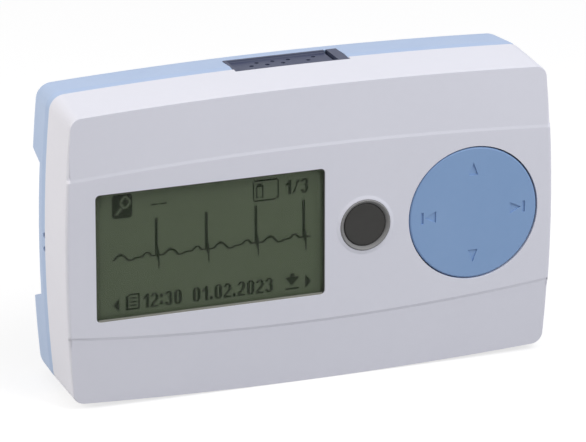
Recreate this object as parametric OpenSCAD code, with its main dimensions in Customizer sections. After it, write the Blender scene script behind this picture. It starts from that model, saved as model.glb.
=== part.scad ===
// Portable heart-rhythm recorder with a display, one event button and a four-way pad.
// Millimetres. The face looks along -Y, Z is up, and the origin is under the middle of the casing.

/* [Casing] */
// Width across the middle of the casing
case_w = 107.8; // [104:0.2:116]
// Height at the middle of the casing
case_h = 65.6; // [64:0.2:72]
// Depth from the raised band of the face to the back
case_d = 26.7; // [26.6:0.1:31]
// Depth of the front half, from the raised band to the parting line
front_d = 13.8; // [13.4:0.1:14.6]
// How far each short side bulges at its middle
side_bow = 1.75; // [0.5:0.05:3]
// How far each long side bulges at its middle
long_bow = 1.5; // [0.5:0.05:2]
// Corner radius just behind the face
face_corner_r = 2.6; // [1.6:0.1:4]
// Corner radius at the parting line and behind it
seam_corner_r = 3.4; // [2:0.1:4]
// Rounding of the edge round the face
face_edge_r = 0.8; // [0.5:0.1:1.2]
// How far the top of the front half slopes down towards the face
top_draft = 1.15; // [0:0.05:1.5]
// Rounding of the edge round the back
back_edge_r = 3; // [2.5:0.1:4.5]
// How far the top and sides of the rear half draw in
rear_taper = 0.55; // [0.2:0.05:0.8]
// How far the rear half stands back from the front half at the parting line
seam_step = 0.35; // [0:0.05:0.4]
// Wall of both halves
wall = 1.8; // [1.5:0.1:2.1]
// Thickness of the front wall behind the raised band
face_wall = 2; // [1.9:0.1:2.3]

/* [Raised band] */
// Step from the raised band down to the fields above and below it
band_step = 0.4; // [0.2:0.05:0.6]
// Height of the upper crease over the centre line at the middle
band_up_mid = 18.7; // [18:0.1:21]
// How far the upper crease drops towards its ends
band_up_sag = 1.9; // [0.5:0.1:3]
// Depth of the lower crease under the centre line at the middle
band_low_mid = 19.2; // [18:0.1:21]
// How far the lower crease rises towards its ends
band_low_sag = 2.8; // [0.5:0.1:3]
// Tilt of the fields above and below the raised band
field_tilt = 1.5; // [0:0.5:2.5]

/* [Display] */
// Distance from the casing's left side to the opening over the display
view_side = 6.4; // [6:0.1:7]
// Distance from the opening to the middle of the event button
view_gap = 8.9; // [8.8:0.1:10]
// Height of the opening over the display
view_h = 27.6; // [24:0.2:28]
// Corner radius of the opening
view_r = 1; // [0.5:0.1:2]
// Width of the window's glued rim
window_rim = 2; // [1.5:0.1:2]
// How far the window lies behind the raised band
window_sink = 0.4; // [0.3:0.1:1.1]
// Thickness of the display glass
glass_t = 1.8; // [1.4:0.1:2]
// Thickness of the light guide
guide_t = 2; // [1.5:0.1:2.2]

/* [Buttons] */
// Distance from the casing's right side to the middle of the pad
pad_side = 18; // [17.9:0.1:19]
// Distance from the middle of the pad to the middle of the event button
button_to_pad = 24.4; // [24:0.1:25]
// Radius of the event button's cap
button_r = 4.5; // [3.5:0.1:5]
// Radius of the hole for the button's collar
collar_r = 5.6; // [5.4:0.1:5.9]
// Gap between the cap and its collar
button_gap = 0.25; // [0.2:0.05:0.3]
// How far the collar round the button stands out
ring_proud = 0.4; // [0.25:0.05:0.5]
// Height of the casing's soft lip round the collar
lip_proud = 0.2; // [0.1:0.05:0.25]
// Travel of the event button
button_travel = 0.6; // [0.3:0.05:0.7]
// Radius of the four-way pad
pad_r = 14.3; // [12:0.1:14.4]
// Gap between the pad and the casing
pad_gap = 0.3; // [0.25:0.05:0.45]
// Radius of the pad's gimbal ring
gimbal_r = 5; // [4.5:0.1:5.2]
// Radius of the gimbal's four pins
gimbal_pin_r = 0.6; // [0.5:0.05:0.7]
// Distance of the pad's switches from its centre
pad_switch_r = 11.4; // [11:0.1:11.8]
// Depth of the arrows sunk into the pad
mark_depth = 0.25; // [0.1:0.05:0.3]

/* [Back and strap channel] */
// Depth of the strap channel
channel_depth = 8.3; // [8:0.1:9.5]
// Height of the bulge above the channel
bulge_up = 17; // [16.5:0.1:18.5]
// Height of the bulge below the channel
bulge_low = 19.6; // [19.5:0.1:21]
// Slope of the channel's upper wall
channel_up_slope = 0.25; // [0:0.05:0.3]
// Slope of the channel's lower wall
channel_low_slope = 0.33; // [0:0.01:0.35]
// Radius of each cord hole in the left side
cord_hole_r = 0.55; // [0.3:0.05:0.9]
// Distance between the two cord holes
cord_hole_pitch = 3.05; // [2.5:0.05:5]

/* [Battery bay] */
// Diameter of the round cell
cell_d = 10.3; // [9.5:0.1:10.4]
// Length of the round cell without its cap
cell_l = 43.4; // [40:0.2:43.6]
// Height of the cell's cap
cap_l = 0.8; // [0.6:0.1:1]
// Height of the cell's middle over the casing's underside
cell_low = 9.5; // [9.4:0.05:9.6]
// Gap round the cell
cell_gap = 0.35; // [0.3:0.05:0.4]
// Thickness of the battery door
door_t = 1.6; // [1.2:0.1:1.6]
// Gap round the battery door
door_gap = 0.15; // [0.1:0.05:0.2]
// How far the door slides before its tabs can lift out
door_travel = 7; // [6.8:0.1:7.4]
// Length of each tab of the door
tab_w = 6.8; // [5:0.1:6.8]

/* [Patient socket] */
// Width of the recess in the top of the casing
socket_w = 25.5; // [22:0.5:27]
// Depth of that recess behind the parting line
socket_t = 7.2; // [6.6:0.1:7.3]
// Depth of the notch that it cuts into the front half
socket_notch = 1.2; // [0.8:0.1:1.6]
// Depth of the socket's face below the top of the casing
socket_sink = 0.8; // [0.6:0.1:1.6]
// Radius of each pin hole in the socket's face
pin_hole_r = 0.5; // [0.4:0.05:0.6]
// Distance between neighbouring pin holes
pin_pitch = 1.75; // [1.65:0.05:1.8]

/* [Board] */
// Depth of the main board's front from the face
board_y = 8; // [7.9:0.05:8.05]
// Thickness of the main board
board_t = 1.6; // [1:0.1:1.6]
// Radius of the casing's screw posts
post_r = 2.7; // [2.4:0.1:2.7]
// Radius of the casing screws' shanks
screw_r = 1.15; // [1:0.05:1.2]

/* [Hidden] */
$fn = 64;
eps = 0.01;
fine = 240;
half_w = case_w / 2;
half_h = case_h / 2;
run_gap = 0.05;
thread_gap = 0.05;
soft_gap = 0.1;
side_steps = 5;
long_steps = 8;
corner_steps = 10;

// Depths, from the face backwards
board_back = board_y + board_t;
back_round_y = case_d - back_edge_r;
door_in_y = case_d - door_t;
channel_y = case_d - channel_depth;
head_seat_y = case_d - 9.5;
pilot_y = 5;
stud_pilot_y = board_y - 4.5;
window_y = window_sink;
window_t = 1.2;
glass_y = window_y + window_t + soft_gap;
guide_y = glass_y + glass_t;
frame_front = max(glass_y + 0.4, face_wall + soft_gap);
frame_floor_y = guide_y + guide_t;
frame_floor_t = 0.9;
flange_y = face_wall + 0.8;
flange_t = 0.9;
gimbal_y = flange_y + flange_t + 1.6;
plunger_y = board_y - 1.75;

// Parting line and the rubber seal between the halves
seam_run = 2.4;
seal_half = 0.3;
seal_inset = wall / 2 + 0.15;
seal_front = 0.6;
seal_back = 0.4;

// Casing screws and the studs that hold the board
screw_x = half_w - 5.3;
screw_up = half_h - 6.4;
screw_low = 7.6 - half_h;
screw_places = [[-screw_x, screw_up], [screw_x, screw_up], [-screw_x, screw_low], [screw_x, screw_low]];
head_r = 2.2;
head_t = 1.5;
well_wall = 0.6;
stud_r = 2.1;
stud_screw_r = 0.8;
stud_head_r = 1.6;
stud_head_t = 1;
stud_screw_l = 5;

// Display stack
view_w = case_w - view_side - view_gap - button_to_pad - pad_side;
view_x = view_side + view_w / 2 - half_w;
view_z = -0.1;
glass_margin = 1.2;
frame_rim = 1;
frame_gap = 0.2;
window_w = view_w + 2 * window_rim;
window_h = view_h + 2 * window_rim;
glass_w = view_w + 2 * glass_margin;
glass_h = view_h + 2 * glass_margin;
frame_w = glass_w + 2 * frame_rim + frame_gap;
frame_h = glass_h + 2 * frame_rim + frame_gap;
rib_t = 1;
rib_h = 1.2;
ribbon_half = view_w / 2 - 10;
ribbon_t = 0.25;

// Keys
pad_x = half_w - pad_side;
pad_z = 0;
button_x = pad_x - button_to_pad;
button_z = 0.3;
cap_y = 0.05;
collar_flange = 0.8;
collar_flange_t = 0.7;
lip_w = 1;
flange_r = pad_r + 1.1;
gimbal_t = 1.8;
gimbal_wall = 1.5;
lug_r = 6.5;
lug_t = 1.6;
lug_half = 1.1;
plate_r = lug_r + lug_t / 2 + 0.6;
switch_w = 4.4;
switch_front = 0.4;
nub_r = 1.2;
nub_gap = 0.55;
mark_w = 2.5;

// Bays in the lower bulge
channel_up = half_h - bulge_up;
channel_low = half_h - bulge_low;
channel_top = channel_up + channel_up_slope * channel_depth;
tub_r = cell_d / 2 + cell_gap;
cell_z = cell_low - half_h;
cell_y = door_in_y - tub_r - 0.8;
bay_wall = 1;
plate_t = 0.4;
plate_half = 3.8;
tail_half = 1;
spring_room = 4.2;
bay_x1 = half_w - 10.3;
bay_x0 = bay_x1 - 2 * plate_t - run_gap - cap_l - cell_l - spring_room;
cell_x0 = bay_x1 - plate_t - run_gap - cap_l - cell_l;
spring_turns = 4;
spring_wire_r = 0.4;
spring_wide_r = 3.5;
spring_narrow_r = 2.3;
card_w = 8.8;
card_t = 0.7;
card_l = 12.3;
slot_w = 12;
slot_t = 3;
slot_l = 10.5;
card_bay_half = 7.5;
card_bay_y = 12;
card_x = bay_x0 - bay_wall - card_bay_half - 2;
card_z = cell_z + 0.5;
door_x0 = card_x - card_bay_half - 1;
tab_reach = 0.6;
tab_t = 0.9;
tab_first = door_x0 + 4;
tab_last = half_w - 19.3;
tab_places = [tab_first, (tab_first + tab_last) / 2, tab_last];
grip_x = half_w - 10;
grip_half = 3.6;
grip_step = 1.6;
grip_w = 0.8;

// Patient socket
socket_x = 0.35;
socket_front = front_d - socket_notch;
socket_mid = front_d + socket_t / 2;
socket_top = half_h - socket_sink;
socket_skirt = half_h - 6;
socket_foot = half_h - 12.6;
socket_lip = 1.5;
socket_rim = 0.7;
socket_rim_top = half_h - 0.25;
sleeve_l = 5.9;
sleeve_wall = 0.25;
tail_r = 0.25;
key_w = 0.6;
key_in = 2.4;
key_depth = 1.6;
pin_steps = [-4.4, -3.4, -2.4, -1.4, -0.4, 0.6, 2.8, 3.8];
pin_row = 0.9;
pin_back = 0.3;

// Pieces on the back of the board
processor_w = 14;
processor_t = 1.4;
processor_at = [27 - half_w, 2];
memory_w = 12;
memory_h = 9;
memory_t = 1.1;
memory_x = 12 - half_w;
memory_rows = [-8, 4];
shield_w = 24;
shield_h = 18;
shield_t = 3;
shield_wall = 0.4;
shield_at = [-1, 7];
radio_w = 16;
radio_h = 12;
radio_board_t = 0.8;
radio_can_t = 1.6;
radio_at = [half_w - 16, 7.8];
buzzer_r = 5.5;
buzzer_t = 4;
buzzer_at = [half_w - 13.9, -6];
coin_r = 6.2;
coin_t = 2.1;
coin_seat = 0.6;
coin_at = [half_w - 33, -8];
stud_places = [[14.9 - half_w, half_h - 10], [half_w - 14.9, half_h - 10], [button_x, -12.2],
    [half_w - 5.7, -13.4], [10.4 - half_w, view_z - frame_h / 2 - 3.8]];

// Point where the corner's circle sits inside two bowed sides
function bow_r(half, bow) = (half * half + bow * bow) / (2 * bow);
function corner_centre(w, h, r) =
    let (rx = bow_r(half_h, side_bow), rz = bow_r(half_w, long_bow))
    let (ax = w - rx, bz = h - rz, a = rx - r, b = rz - r)
    let (d = norm([ax, bz]), t = (a * a - b * b + d * d) / (2 * d), s = sqrt(a * a - t * t))
    [ax - t * ax / d - s * bz / d, t * bz / d - s * ax / d];

// Quarter of the casing's outline, with a level step in the middle of each side
function quarter(w, h, r) =
    let (rx = bow_r(half_h, side_bow), rz = bow_r(half_w, long_bow), k = corner_centre(w, h, r))
    let (t1 = atan2(k.y, k.x - w + rx), t2 = atan2(k.y - h + rz, k.x))
    let (n = side_steps, c = corner_steps, m = long_steps)
    let (xs = w - rx * cos(t1 / (2 * n + 1)), zs = h - rz * cos((90 - t2) / (2 * m + 1)))
    concat(
        [for (i = [0:n - 1]) let (t = t1 * (2 * i + 1) / (2 * n + 1)) [xs + rx * cos(t), rx * sin(t)]],
        [for (i = [0:c]) let (t = t1 + (t2 - t1) * i / c) k + r * [cos(t), sin(t)]],
        [for (i = [1:m]) let (t = t2 + (90 - t2) * 2 * i / (2 * m + 1)) [rz * cos(t), zs + rz * sin(t)]]);

// Whole outline: a rectangle with four bowed sides and round corners
function outline(w, h, r) =
    let (q = quarter(w, h, r), n = len(q))
    concat(q,
        [for (i = [n - 1:-1:0]) [-q[i].x, q[i].y]],
        [for (p = q) -p],
        [for (i = [n - 1:-1:0]) [q[i].x, -q[i].y]]);

// Moves a piece from the casing's own frame to the model's frame
module placed() {
    translate([0, (ring_proud - case_d) / 2, half_h]) children();
}

// Extrudes an outline drawn in X and Z from one depth to another
module along_y(y0, y1) {
    translate([0, y1, 0]) rotate([90, 0, 0]) linear_extrude(height = y1 - y0) children();
}

// Extrudes an outline drawn in Y and Z from one side to the other
module along_x(x0, x1) {
    translate([x0, 0, 0]) rotate([90, 0, 90]) linear_extrude(height = x1 - x0) children();
}

// Round bar or bore along Y
module rod_y(r, y0, y1, at) {
    translate([at.x, y1, at.y]) rotate([90, 0, 0]) cylinder(r = r, h = y1 - y0);
}

// Round bar or bore along X
module rod_x(r, x0, x1, y, z) {
    translate([x0, y, z]) rotate([0, 90, 0]) cylinder(r = r, h = x1 - x0);
}

// Block between two corners
module block(low, high) {
    translate(low) cube(high - low);
}

// Rectangle with round corners, centred, made of circles and two bars
module round_rect(w, h, r) {
    square([w - 2 * r, h], center = true);
    square([w, h - 2 * r], center = true);
    for (x = [-1, 1], z = [-1, 1])
        translate([x * (w / 2 - r), z * (h / 2 - r)]) circle(r = r);
}

// Thin slice of a form, lowered so that its underside can stay level
module slice(w, h, r, y, drop = 0) {
    translate([0, 0, -drop]) along_y(y, y + eps) polygon(outline(w, h, r));
}

// Solid form of the front half, with its face at depth y0 and its top sloping down to it
module front_form(y0) {
    hull() {
        for (t = [0:18:90]) {
            inset = face_edge_r * (1 - sin(t));
            slice(half_w - inset, half_h - top_draft / 2 - inset, face_corner_r - inset / 2,
                y0 + face_edge_r * (1 - cos(t)), top_draft / 2);
        }
        slice(half_w, half_h, seam_corner_r, front_d - eps);
    }
}

// Hollow of the front half, sloping with its top
module front_hollow() {
    r = max(seam_corner_r - wall / 2, 1);
    hull() {
        slice(half_w - wall, half_h - top_draft / 2 - wall, r, face_wall, top_draft / 2);
        slice(half_w - wall, half_h - wall, r, front_d + 1);
    }
}

// Solid form of the rear half: it draws in at the parting line and the back, and its underside is level
module rear_form() {
    draw = rear_taper * seam_run / (case_d - front_d);
    hull() {
        slice(half_w - seam_step, half_h - seam_step / 2, seam_corner_r, front_d, seam_step / 2);
        slice(half_w - draw / 2, half_h - draw / 4, seam_corner_r, front_d + seam_run, draw / 4);
        for (t = [0:15:90]) {
            inset = back_edge_r * (1 - cos(t));
            slice(half_w - rear_taper - inset, half_h - rear_taper / 2 - inset, seam_corner_r,
                back_round_y - eps + back_edge_r * sin(t), rear_taper / 2);
        }
    }
}

// Lens between the two creases, seen from the front
module band_lens() {
    up_r = bow_r(half_w, band_up_sag);
    low_r = bow_r(half_w, band_low_sag);
    intersection() {
        square([case_w + 2, case_h], center = true);
        translate([0, band_up_mid - up_r]) circle(r = up_r, $fn = 2 * fine);
        translate([0, low_r - band_low_mid]) circle(r = low_r, $fn = 2 * fine);
    }
}

// Wedge that tilts a field of the face back, from height z outwards
module tilted_field(z) {
    translate([0, band_step, z]) rotate([-field_tilt, 0, 0])
        block([-case_w, -case_d, 0], [case_w, 0, case_h]);
}

module inner_outline(inset, drop = 0) {
    translate([0, -drop])
        polygon(outline(half_w - inset, half_h - drop - inset, max(seam_corner_r - inset / 2, 1)));
}

module seal_ring(half_width) {
    difference() {
        inner_outline(seal_inset - half_width);
        inner_outline(seal_inset + half_width);
    }
}

// White half with the face, the openings and the posts
module front_casing() color("gainsboro") placed() difference() {
    union() {
        difference() {
            union() {
                difference() {
                    front_form(band_step);
                    tilted_field(band_up_mid - band_up_sag);
                    mirror([0, 0, 1]) tilted_field(band_low_mid - band_low_sag);
                }
                intersection() {
                    front_form(0);
                    along_y(-1, front_d) band_lens();
                }
            }
            front_hollow();
        }
        for (p = screw_places) rod_y(post_r, face_wall - eps, front_d, p);
        for (p = stud_places) rod_y(stud_r, face_wall - eps, board_y, p);
        translate([view_x, 0, view_z]) along_y(face_wall - eps, face_wall + rib_h) frame_ribs();
        translate([button_x, 0, button_z]) collar_lip();
    }
    translate([view_x, 0, view_z]) {
        along_y(-1, face_wall + 1) round_rect(view_w, view_h, view_r);
        along_y(window_y, face_wall + 1)
            square([window_w + 2 * soft_gap, window_h + 2 * soft_gap], center = true);
    }
    rod_y(pad_r + pad_gap, -1, face_wall + 1, [pad_x, pad_z]);
    rod_y(collar_r, -1, face_wall + 1, [button_x, button_z]);
    for (p = screw_places) rod_y(screw_r + thread_gap, pilot_y, front_d + 1, p);
    for (p = stud_places) rod_y(stud_screw_r + thread_gap, stud_pilot_y, board_y + 1, p);
    along_y(front_d - seal_front, front_d + 1) seal_ring(seal_half + run_gap);
    socket_recess(socket_front, front_d + 1);
}

// Soft lip round the collar's hole, a quarter wave from its crest down to the face
module collar_lip() {
    crest = [for (t = [0:15:90]) [collar_r + lip_w * t / 90, eps - lip_proud * pow(cos(t), 2)]];
    rotate([-90, 0, 0]) rotate_extrude()
        polygon(concat([[collar_r - lip_w / 2, -lip_proud]], crest,
            [[collar_r + lip_w, 1], [collar_r - lip_w / 2, 1]]));
}

// Ribs over and under the display's tray, parted for the ribbon
module frame_ribs() {
    reach = frame_h / 2 + frame_gap;
    long = frame_w / 2 - 4;
    short = ribbon_half + 2;
    translate([-long, reach]) square([2 * long, rib_t]);
    for (s = [0, 1]) mirror([s, 0]) translate([short, -reach - rib_t]) square([long - short, rib_t]);
}

// Cross-section of the strap channel, in Y and Z
module channel_section() {
    run = case_d + 1 - channel_y;
    polygon([
        [channel_y, channel_up],
        [channel_y + run, channel_up + channel_up_slope * run],
        [channel_y + run, -channel_low - channel_low_slope * run],
        [channel_y, -channel_low]]);
}

// Hollow that takes the round cell, open at the back
module cell_hollow(grow, x0, x1) {
    along_x(x0, x1) {
        translate([cell_y, cell_z]) circle(r = tub_r + grow);
        translate([cell_y, cell_z - tub_r - grow])
            square([case_d + 1 - cell_y, 2 * (tub_r + grow)]);
    }
}

module card_hollow(grow) {
    block([card_x - card_bay_half - grow, card_bay_y - grow, cell_z - tub_r - grow],
        [card_x + card_bay_half + grow, case_d + 1, cell_z + tub_r + grow]);
}

// Seat of the battery door, open at the right end
module door_seat(grow) {
    block([door_x0 - grow, door_in_y - grow, cell_z - tub_r - grow],
        [half_w + 2, case_d + 1, cell_z + tub_r + grow]);
}

// Room for the door's tabs to enter from the back and then slide under the rails
module tab_rooms() {
    reach = tub_r + tab_reach + door_gap;
    for (x = tab_places) {
        block([x - door_gap, door_in_y - tab_t - door_gap, cell_z - reach],
            [x + tab_w + door_travel + door_gap, door_in_y + door_gap, cell_z + reach]);
        block([x + door_travel - door_gap, door_in_y - tab_t - door_gap, cell_z - reach],
            [x + tab_w + door_travel + door_gap, case_d + 1, cell_z + reach]);
    }
}

// Slot through the bay's front wall for the tail of a contact plate
module tail_slot(x) {
    block([x - run_gap, board_back, cell_z - tail_half - 0.2],
        [x + plate_t + run_gap, cell_y, cell_z + tail_half + 0.2]);
}

// Recess in the top of both halves that takes the socket
module socket_recess(y0, y1) {
    block([socket_x - socket_w / 2, y0, socket_skirt], [socket_x + socket_w / 2, y1, half_h + 1]);
}

// Blue half with the strap channel, the battery bay and the screw wells
module rear_casing() color("lightsteelblue") placed() difference() {
    union() {
        difference() {
            rear_form();
            along_y(front_d - 1, channel_y - wall) inner_outline(wall);
            intersection() {
                along_y(front_d - 1, case_d - wall) inner_outline(wall + back_edge_r / 2);
                block([-half_w, front_d - 1, channel_top + wall], [half_w, case_d, half_h]);
            }
        }
        intersection() {
            union() {
                cell_hollow(bay_wall, bay_x0 - bay_wall, bay_x1 + bay_wall);
                card_hollow(bay_wall);
                for (p = screw_places) rod_y(post_r + well_wall, front_d + run_gap, case_d, p);
            }
            union() {
                rear_form();
                along_y(board_back, front_d + 1) inner_outline(wall + 0.15);
            }
        }
    }
    along_x(-half_w - 1, half_w + 1) channel_section();
    cell_hollow(0, bay_x0, bay_x1);
    card_hollow(0);
    door_seat(0);
    tab_rooms();
    tail_slot(bay_x0);
    tail_slot(bay_x1 - plate_t);
    block([card_x - slot_w / 2 - 0.4, board_back, card_z - slot_t / 2 - 0.4],
        [card_x + slot_w / 2 + 0.4, card_bay_y + 1, card_z + slot_t / 2 + 0.4]);
    for (p = screw_places) {
        rod_y(screw_r + 0.25, front_d - 1, case_d + 1, p);
        rod_y(head_r + 0.3, head_seat_y, case_d + 1, p);
    }
    socket_recess(front_d - 1, front_d + socket_t);
    for (z = [-1, 1]) rod_x(cord_hole_r, -half_w - 1, -half_w + wall + 1, front_d + 1.1,
        z * cord_hole_pitch / 2 - 0.3);
    along_y(front_d - 1, front_d + seal_back) seal_ring(seal_half + run_gap);
}

// Rubber ring in the groove between the halves
module casing_seal() color("dimgray") placed()
    difference() {
        along_y(front_d - seal_front + run_gap, front_d + seal_back - run_gap) seal_ring(seal_half);
        block([socket_x - socket_w / 2 - 1, front_d - 2, 0],
            [socket_x + socket_w / 2 + 1, front_d + 2, half_h]);
    }

// Sliding door over the cell and the card, with tabs along both edges
module battery_door() color("lightsteelblue") placed() difference() {
    union() {
        intersection() {
            rear_form();
            block([door_x0 + door_gap, door_in_y, cell_z - tub_r + door_gap],
                [half_w + 1, case_d + 1, cell_z + tub_r - door_gap]);
        }
        for (x = tab_places) {
            block([x, door_in_y - tab_t, cell_z - tub_r - tab_reach],
                [x + tab_w, door_in_y - door_gap, cell_z + tub_r + tab_reach]);
            block([x, door_in_y - tab_t, cell_z - tub_r + door_gap],
                [x + tab_w, door_in_y + eps, cell_z + tub_r - door_gap]);
        }
    }
    for (i = [0:5])
        block([grip_x - grip_step * i, case_d - 0.4, cell_z - grip_half],
            [grip_x - grip_step * i + grip_w, case_d + 1, cell_z + grip_half]);
}

// Clear window glued into the front half from inside
module display_window() color("darkseagreen", 0.5) placed()
    translate([view_x, 0, view_z])
        along_y(window_y, window_y + window_t) square([window_w, window_h], center = true);

module display_glass() color("darkolivegreen") placed()
    translate([view_x, 0, view_z])
        along_y(glass_y, glass_y + glass_t) square([glass_w, glass_h], center = true);

module light_guide() color("whitesmoke") placed()
    translate([view_x, 0, view_z])
        along_y(guide_y, guide_y + guide_t) square([glass_w, glass_h], center = true);

// Tray that carries the glass and stands on the board
module display_frame() color("silver") placed() translate([view_x, 0, view_z]) {
    difference() {
        along_y(frame_front, frame_floor_y + frame_floor_t) round_rect(frame_w, frame_h, 0.6);
        along_y(glass_y - 1, frame_floor_y)
            square([glass_w + frame_gap, glass_h + frame_gap], center = true);
        along_y(glass_y - 1, glass_y + 1.4)
            translate([0, -frame_h / 2]) square([2 * ribbon_half + 2, 4], center = true);
    }
    for (x = [-1, 1], z = [-1, 1])
        rod_y(1.1, frame_floor_y + frame_floor_t - eps, board_y,
            [x * (frame_w / 2 - 3), z * (frame_h / 2 - 3)]);
}

// Flat ribbon from the glass's lower edge round the tray to the board
module display_ribbon() color("peru") placed() {
    y0 = glass_y + 0.7;
    y1 = board_y - 0.9;
    z0 = view_z - glass_h / 2;
    z1 = ribbon_turn();
    along_x(view_x - ribbon_half, view_x + ribbon_half) polygon([
        [y0, z0], [y0, z1 - ribbon_t], [y1, z1 - ribbon_t], [y1, z1 - 2.2], [y1 + ribbon_t, z1 - 2.2],
        [y1 + ribbon_t, z1], [y0 + ribbon_t, z1], [y0 + ribbon_t, z0]]);
}

// Height at which the ribbon turns towards the board
function ribbon_turn() = view_z - frame_h / 2 - 0.5;

// Socket on the board that grips the ribbon's end
module ribbon_connector() color("ivory") placed() difference() {
    z1 = ribbon_turn() - 0.7;
    half = ribbon_half + 2;
    block([view_x - half, board_y - 1.6, z1 - 3.4], [view_x + half, board_y, z1]);
    block([view_x - ribbon_half - 0.2, board_y - 1, z1 - 2],
        [view_x + ribbon_half + 0.2, board_y - 0.55, z1 + 1]);
}

// Cap of the event button with its flange and stem
module event_button() color("dimgray") placed() translate([button_x, 0, button_z]) {
    stem_end = plunger_y - button_travel - run_gap;
    front = flange_y + 0.1;
    rotate([-90, 0, 0]) rotate_extrude() polygon([
        [0, cap_y], [button_r - 0.8, cap_y], [button_r - 0.25, cap_y + 0.15], [button_r, cap_y + 0.6],
        [button_r, front], [button_r + 0.6, front], [button_r + 0.6, front + 0.8],
        [2, front + 0.8], [2, stem_end], [0, stem_end]]);
}

// Grey collar glued into the casing round the cap, with a rounded rim
module button_collar() color("gray") placed() translate([button_x, 0, button_z]) {
    inner = button_r + button_gap;
    outer = collar_r - run_gap;
    rotate([-90, 0, 0]) rotate_extrude() polygon([
        [inner, 0.3], [inner + 0.1, 0.12 - ring_proud], [inner + 0.3, -ring_proud],
        [outer - 0.35, 0.03 - ring_proud], [outer - 0.1, 0.14 - ring_proud], [outer, 0.3 - ring_proud],
        [outer, face_wall],
        [collar_r + collar_flange, face_wall], [collar_r + collar_flange, face_wall + collar_flange_t],
        [inner, face_wall + collar_flange_t]]);
}

// Tactile switch: square body with a round plunger
module tact_switch() {
    along_y(plunger_y + switch_front, board_y) square(switch_w, center = true);
    rod_y(nub_r, plunger_y, plunger_y + switch_front + eps, [0, 0]);
}

module event_switch() color("black") placed() translate([button_x, 0, button_z]) tact_switch();

// Triangle pointing along X, centred, of the given length and width
module pointer(length, width) {
    polygon([[-length / 2, -width / 2], [length / 2, 0], [-length / 2, width / 2]]);
}

// Marks sunk into the pad: pointers up and down, pointers with a bar at the tip left and right
module pad_marks() {
    for (s = [0, 1]) {
        mirror([0, s]) translate([0, 0.67 * pad_r]) rotate(90) pointer(2.7, mark_w * 0.85);
        mirror([s, 0]) translate([0.71 * pad_r, 0]) {
            translate([-0.5, 0]) pointer(mark_w, mark_w);
            translate([mark_w / 2 + 0.1, 0]) square([0.55, mark_w], center = true);
        }
    }
}

// Four-way pad: disc, retaining flange, two bearing lugs and four nubs
module navigation_pad() color("cornflowerblue") placed() translate([pad_x, 0, pad_z]) {
    difference() {
        union() {
            rotate([-90, 0, 0]) rotate_extrude($fn = fine / 2) polygon([
                [0, 0.2], [pad_r - 0.25, 0.1], [pad_r, 0.3], [pad_r, flange_y],
                [flange_r, flange_y], [flange_r, flange_y + flange_t], [0, flange_y + flange_t]]);
            for (z = [-1, 1])
                block([-lug_half, flange_y, z * lug_r - lug_t / 2],
                    [lug_half, gimbal_y + lug_half, z * lug_r + lug_t / 2]);
        }
        for (z = [-1, 1]) translate([0, gimbal_y, z * lug_r - lug_t / 2 - 1])
            cylinder(r = gimbal_pin_r + run_gap, h = lug_t + 2);
        along_y(-1, 0.2 + mark_depth) pad_marks();
    }
    for (a = [0:90:270])
        rod_y(nub_r, flange_y, plunger_y - nub_gap, pad_switch_r * [cos(a), sin(a)]);
}

// Gimbal ring with one pair of pins for the bracket and one for the pad
module pad_gimbal() color("silver") placed() translate([pad_x, 0, pad_z]) {
    pin_end = lug_r + lug_t / 2;
    rotate([90, 0, 0]) translate([0, 0, -gimbal_y - gimbal_t / 2]) difference() {
        cylinder(r = gimbal_r, h = gimbal_t);
        translate([0, 0, -1]) cylinder(r = gimbal_r - gimbal_wall, h = gimbal_t + 2);
    }
    for (s = [0, 1]) mirror([s, 0, 0])
        rod_x(gimbal_pin_r, gimbal_r - gimbal_wall / 2, pin_end, gimbal_y, 0);
    for (s = [0, 1]) mirror([0, 0, s])
        translate([0, gimbal_y, gimbal_r - gimbal_wall / 2])
            cylinder(r = gimbal_pin_r, h = pin_end - gimbal_r + gimbal_wall / 2);
}

// Bracket on the board that carries the gimbal's side pins
module gimbal_bracket() color("silver") placed() translate([pad_x, 0, pad_z]) difference() {
    union() {
        rod_y(plate_r, board_y - 0.9, board_y, [0, 0]);
        for (x = [-1, 1])
            block([x * lug_r - lug_t / 2, gimbal_y - lug_half, -lug_half],
                [x * lug_r + lug_t / 2, board_y, lug_half]);
    }
    for (x = [-1, 1]) rod_x(gimbal_pin_r + run_gap, x * lug_r - lug_t, x * lug_r + lug_t,
        gimbal_y, 0);
}

module pad_switches() color("black") placed() translate([pad_x, 0, pad_z])
    for (a = [0:90:270])
        translate([pad_switch_r * cos(a), 0, pad_switch_r * sin(a)]) tact_switch();

// Main board with notches for the screw posts
module main_board() color("seagreen") placed() along_y(board_y, board_back) difference() {
    inner_outline(wall + 0.6, top_draft / 2);
    for (p = screw_places) translate(p) circle(r = post_r + 0.4);
    for (p = screw_places) {
        translate([p.x + sign(p.x) * half_w, p.y]) square([2 * half_w, 2 * post_r + 0.8], center = true);
        translate([p.x, p.y + sign(p.y) * half_h]) square([2 * post_r + 0.8, 2 * half_h], center = true);
    }
    for (p = stud_places) translate(p) circle(r = stud_screw_r + 0.2);
}

// Pan-head screw along Y, with its head seat at depth y
module screw(r, length, cap_r, cap_t, y) {
    difference() {
        union() {
            rotate([90, 0, 0]) translate([0, 0, -y]) cylinder(r = r, h = length);
            translate([0, y, 0]) rotate([-90, 0, 0]) cylinder(r = cap_r, h = cap_t);
        }
        for (a = [0, 90]) rotate([0, a, 0])
            block([-cap_r * 0.65, y + cap_t * 0.5, -cap_r * 0.13],
                [cap_r * 0.65, y + cap_t + 1, cap_r * 0.13]);
    }
}

module casing_screws() color("silver") placed()
    for (p = screw_places) translate([p.x, 0, p.y])
        screw(screw_r, head_seat_y - pilot_y - 1, head_r, head_t, head_seat_y);

module board_screws() color("silver") placed()
    for (p = stud_places) translate([p.x, 0, p.y])
        screw(stud_screw_r, stud_screw_l, stud_head_r, stud_head_t, board_back);

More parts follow.
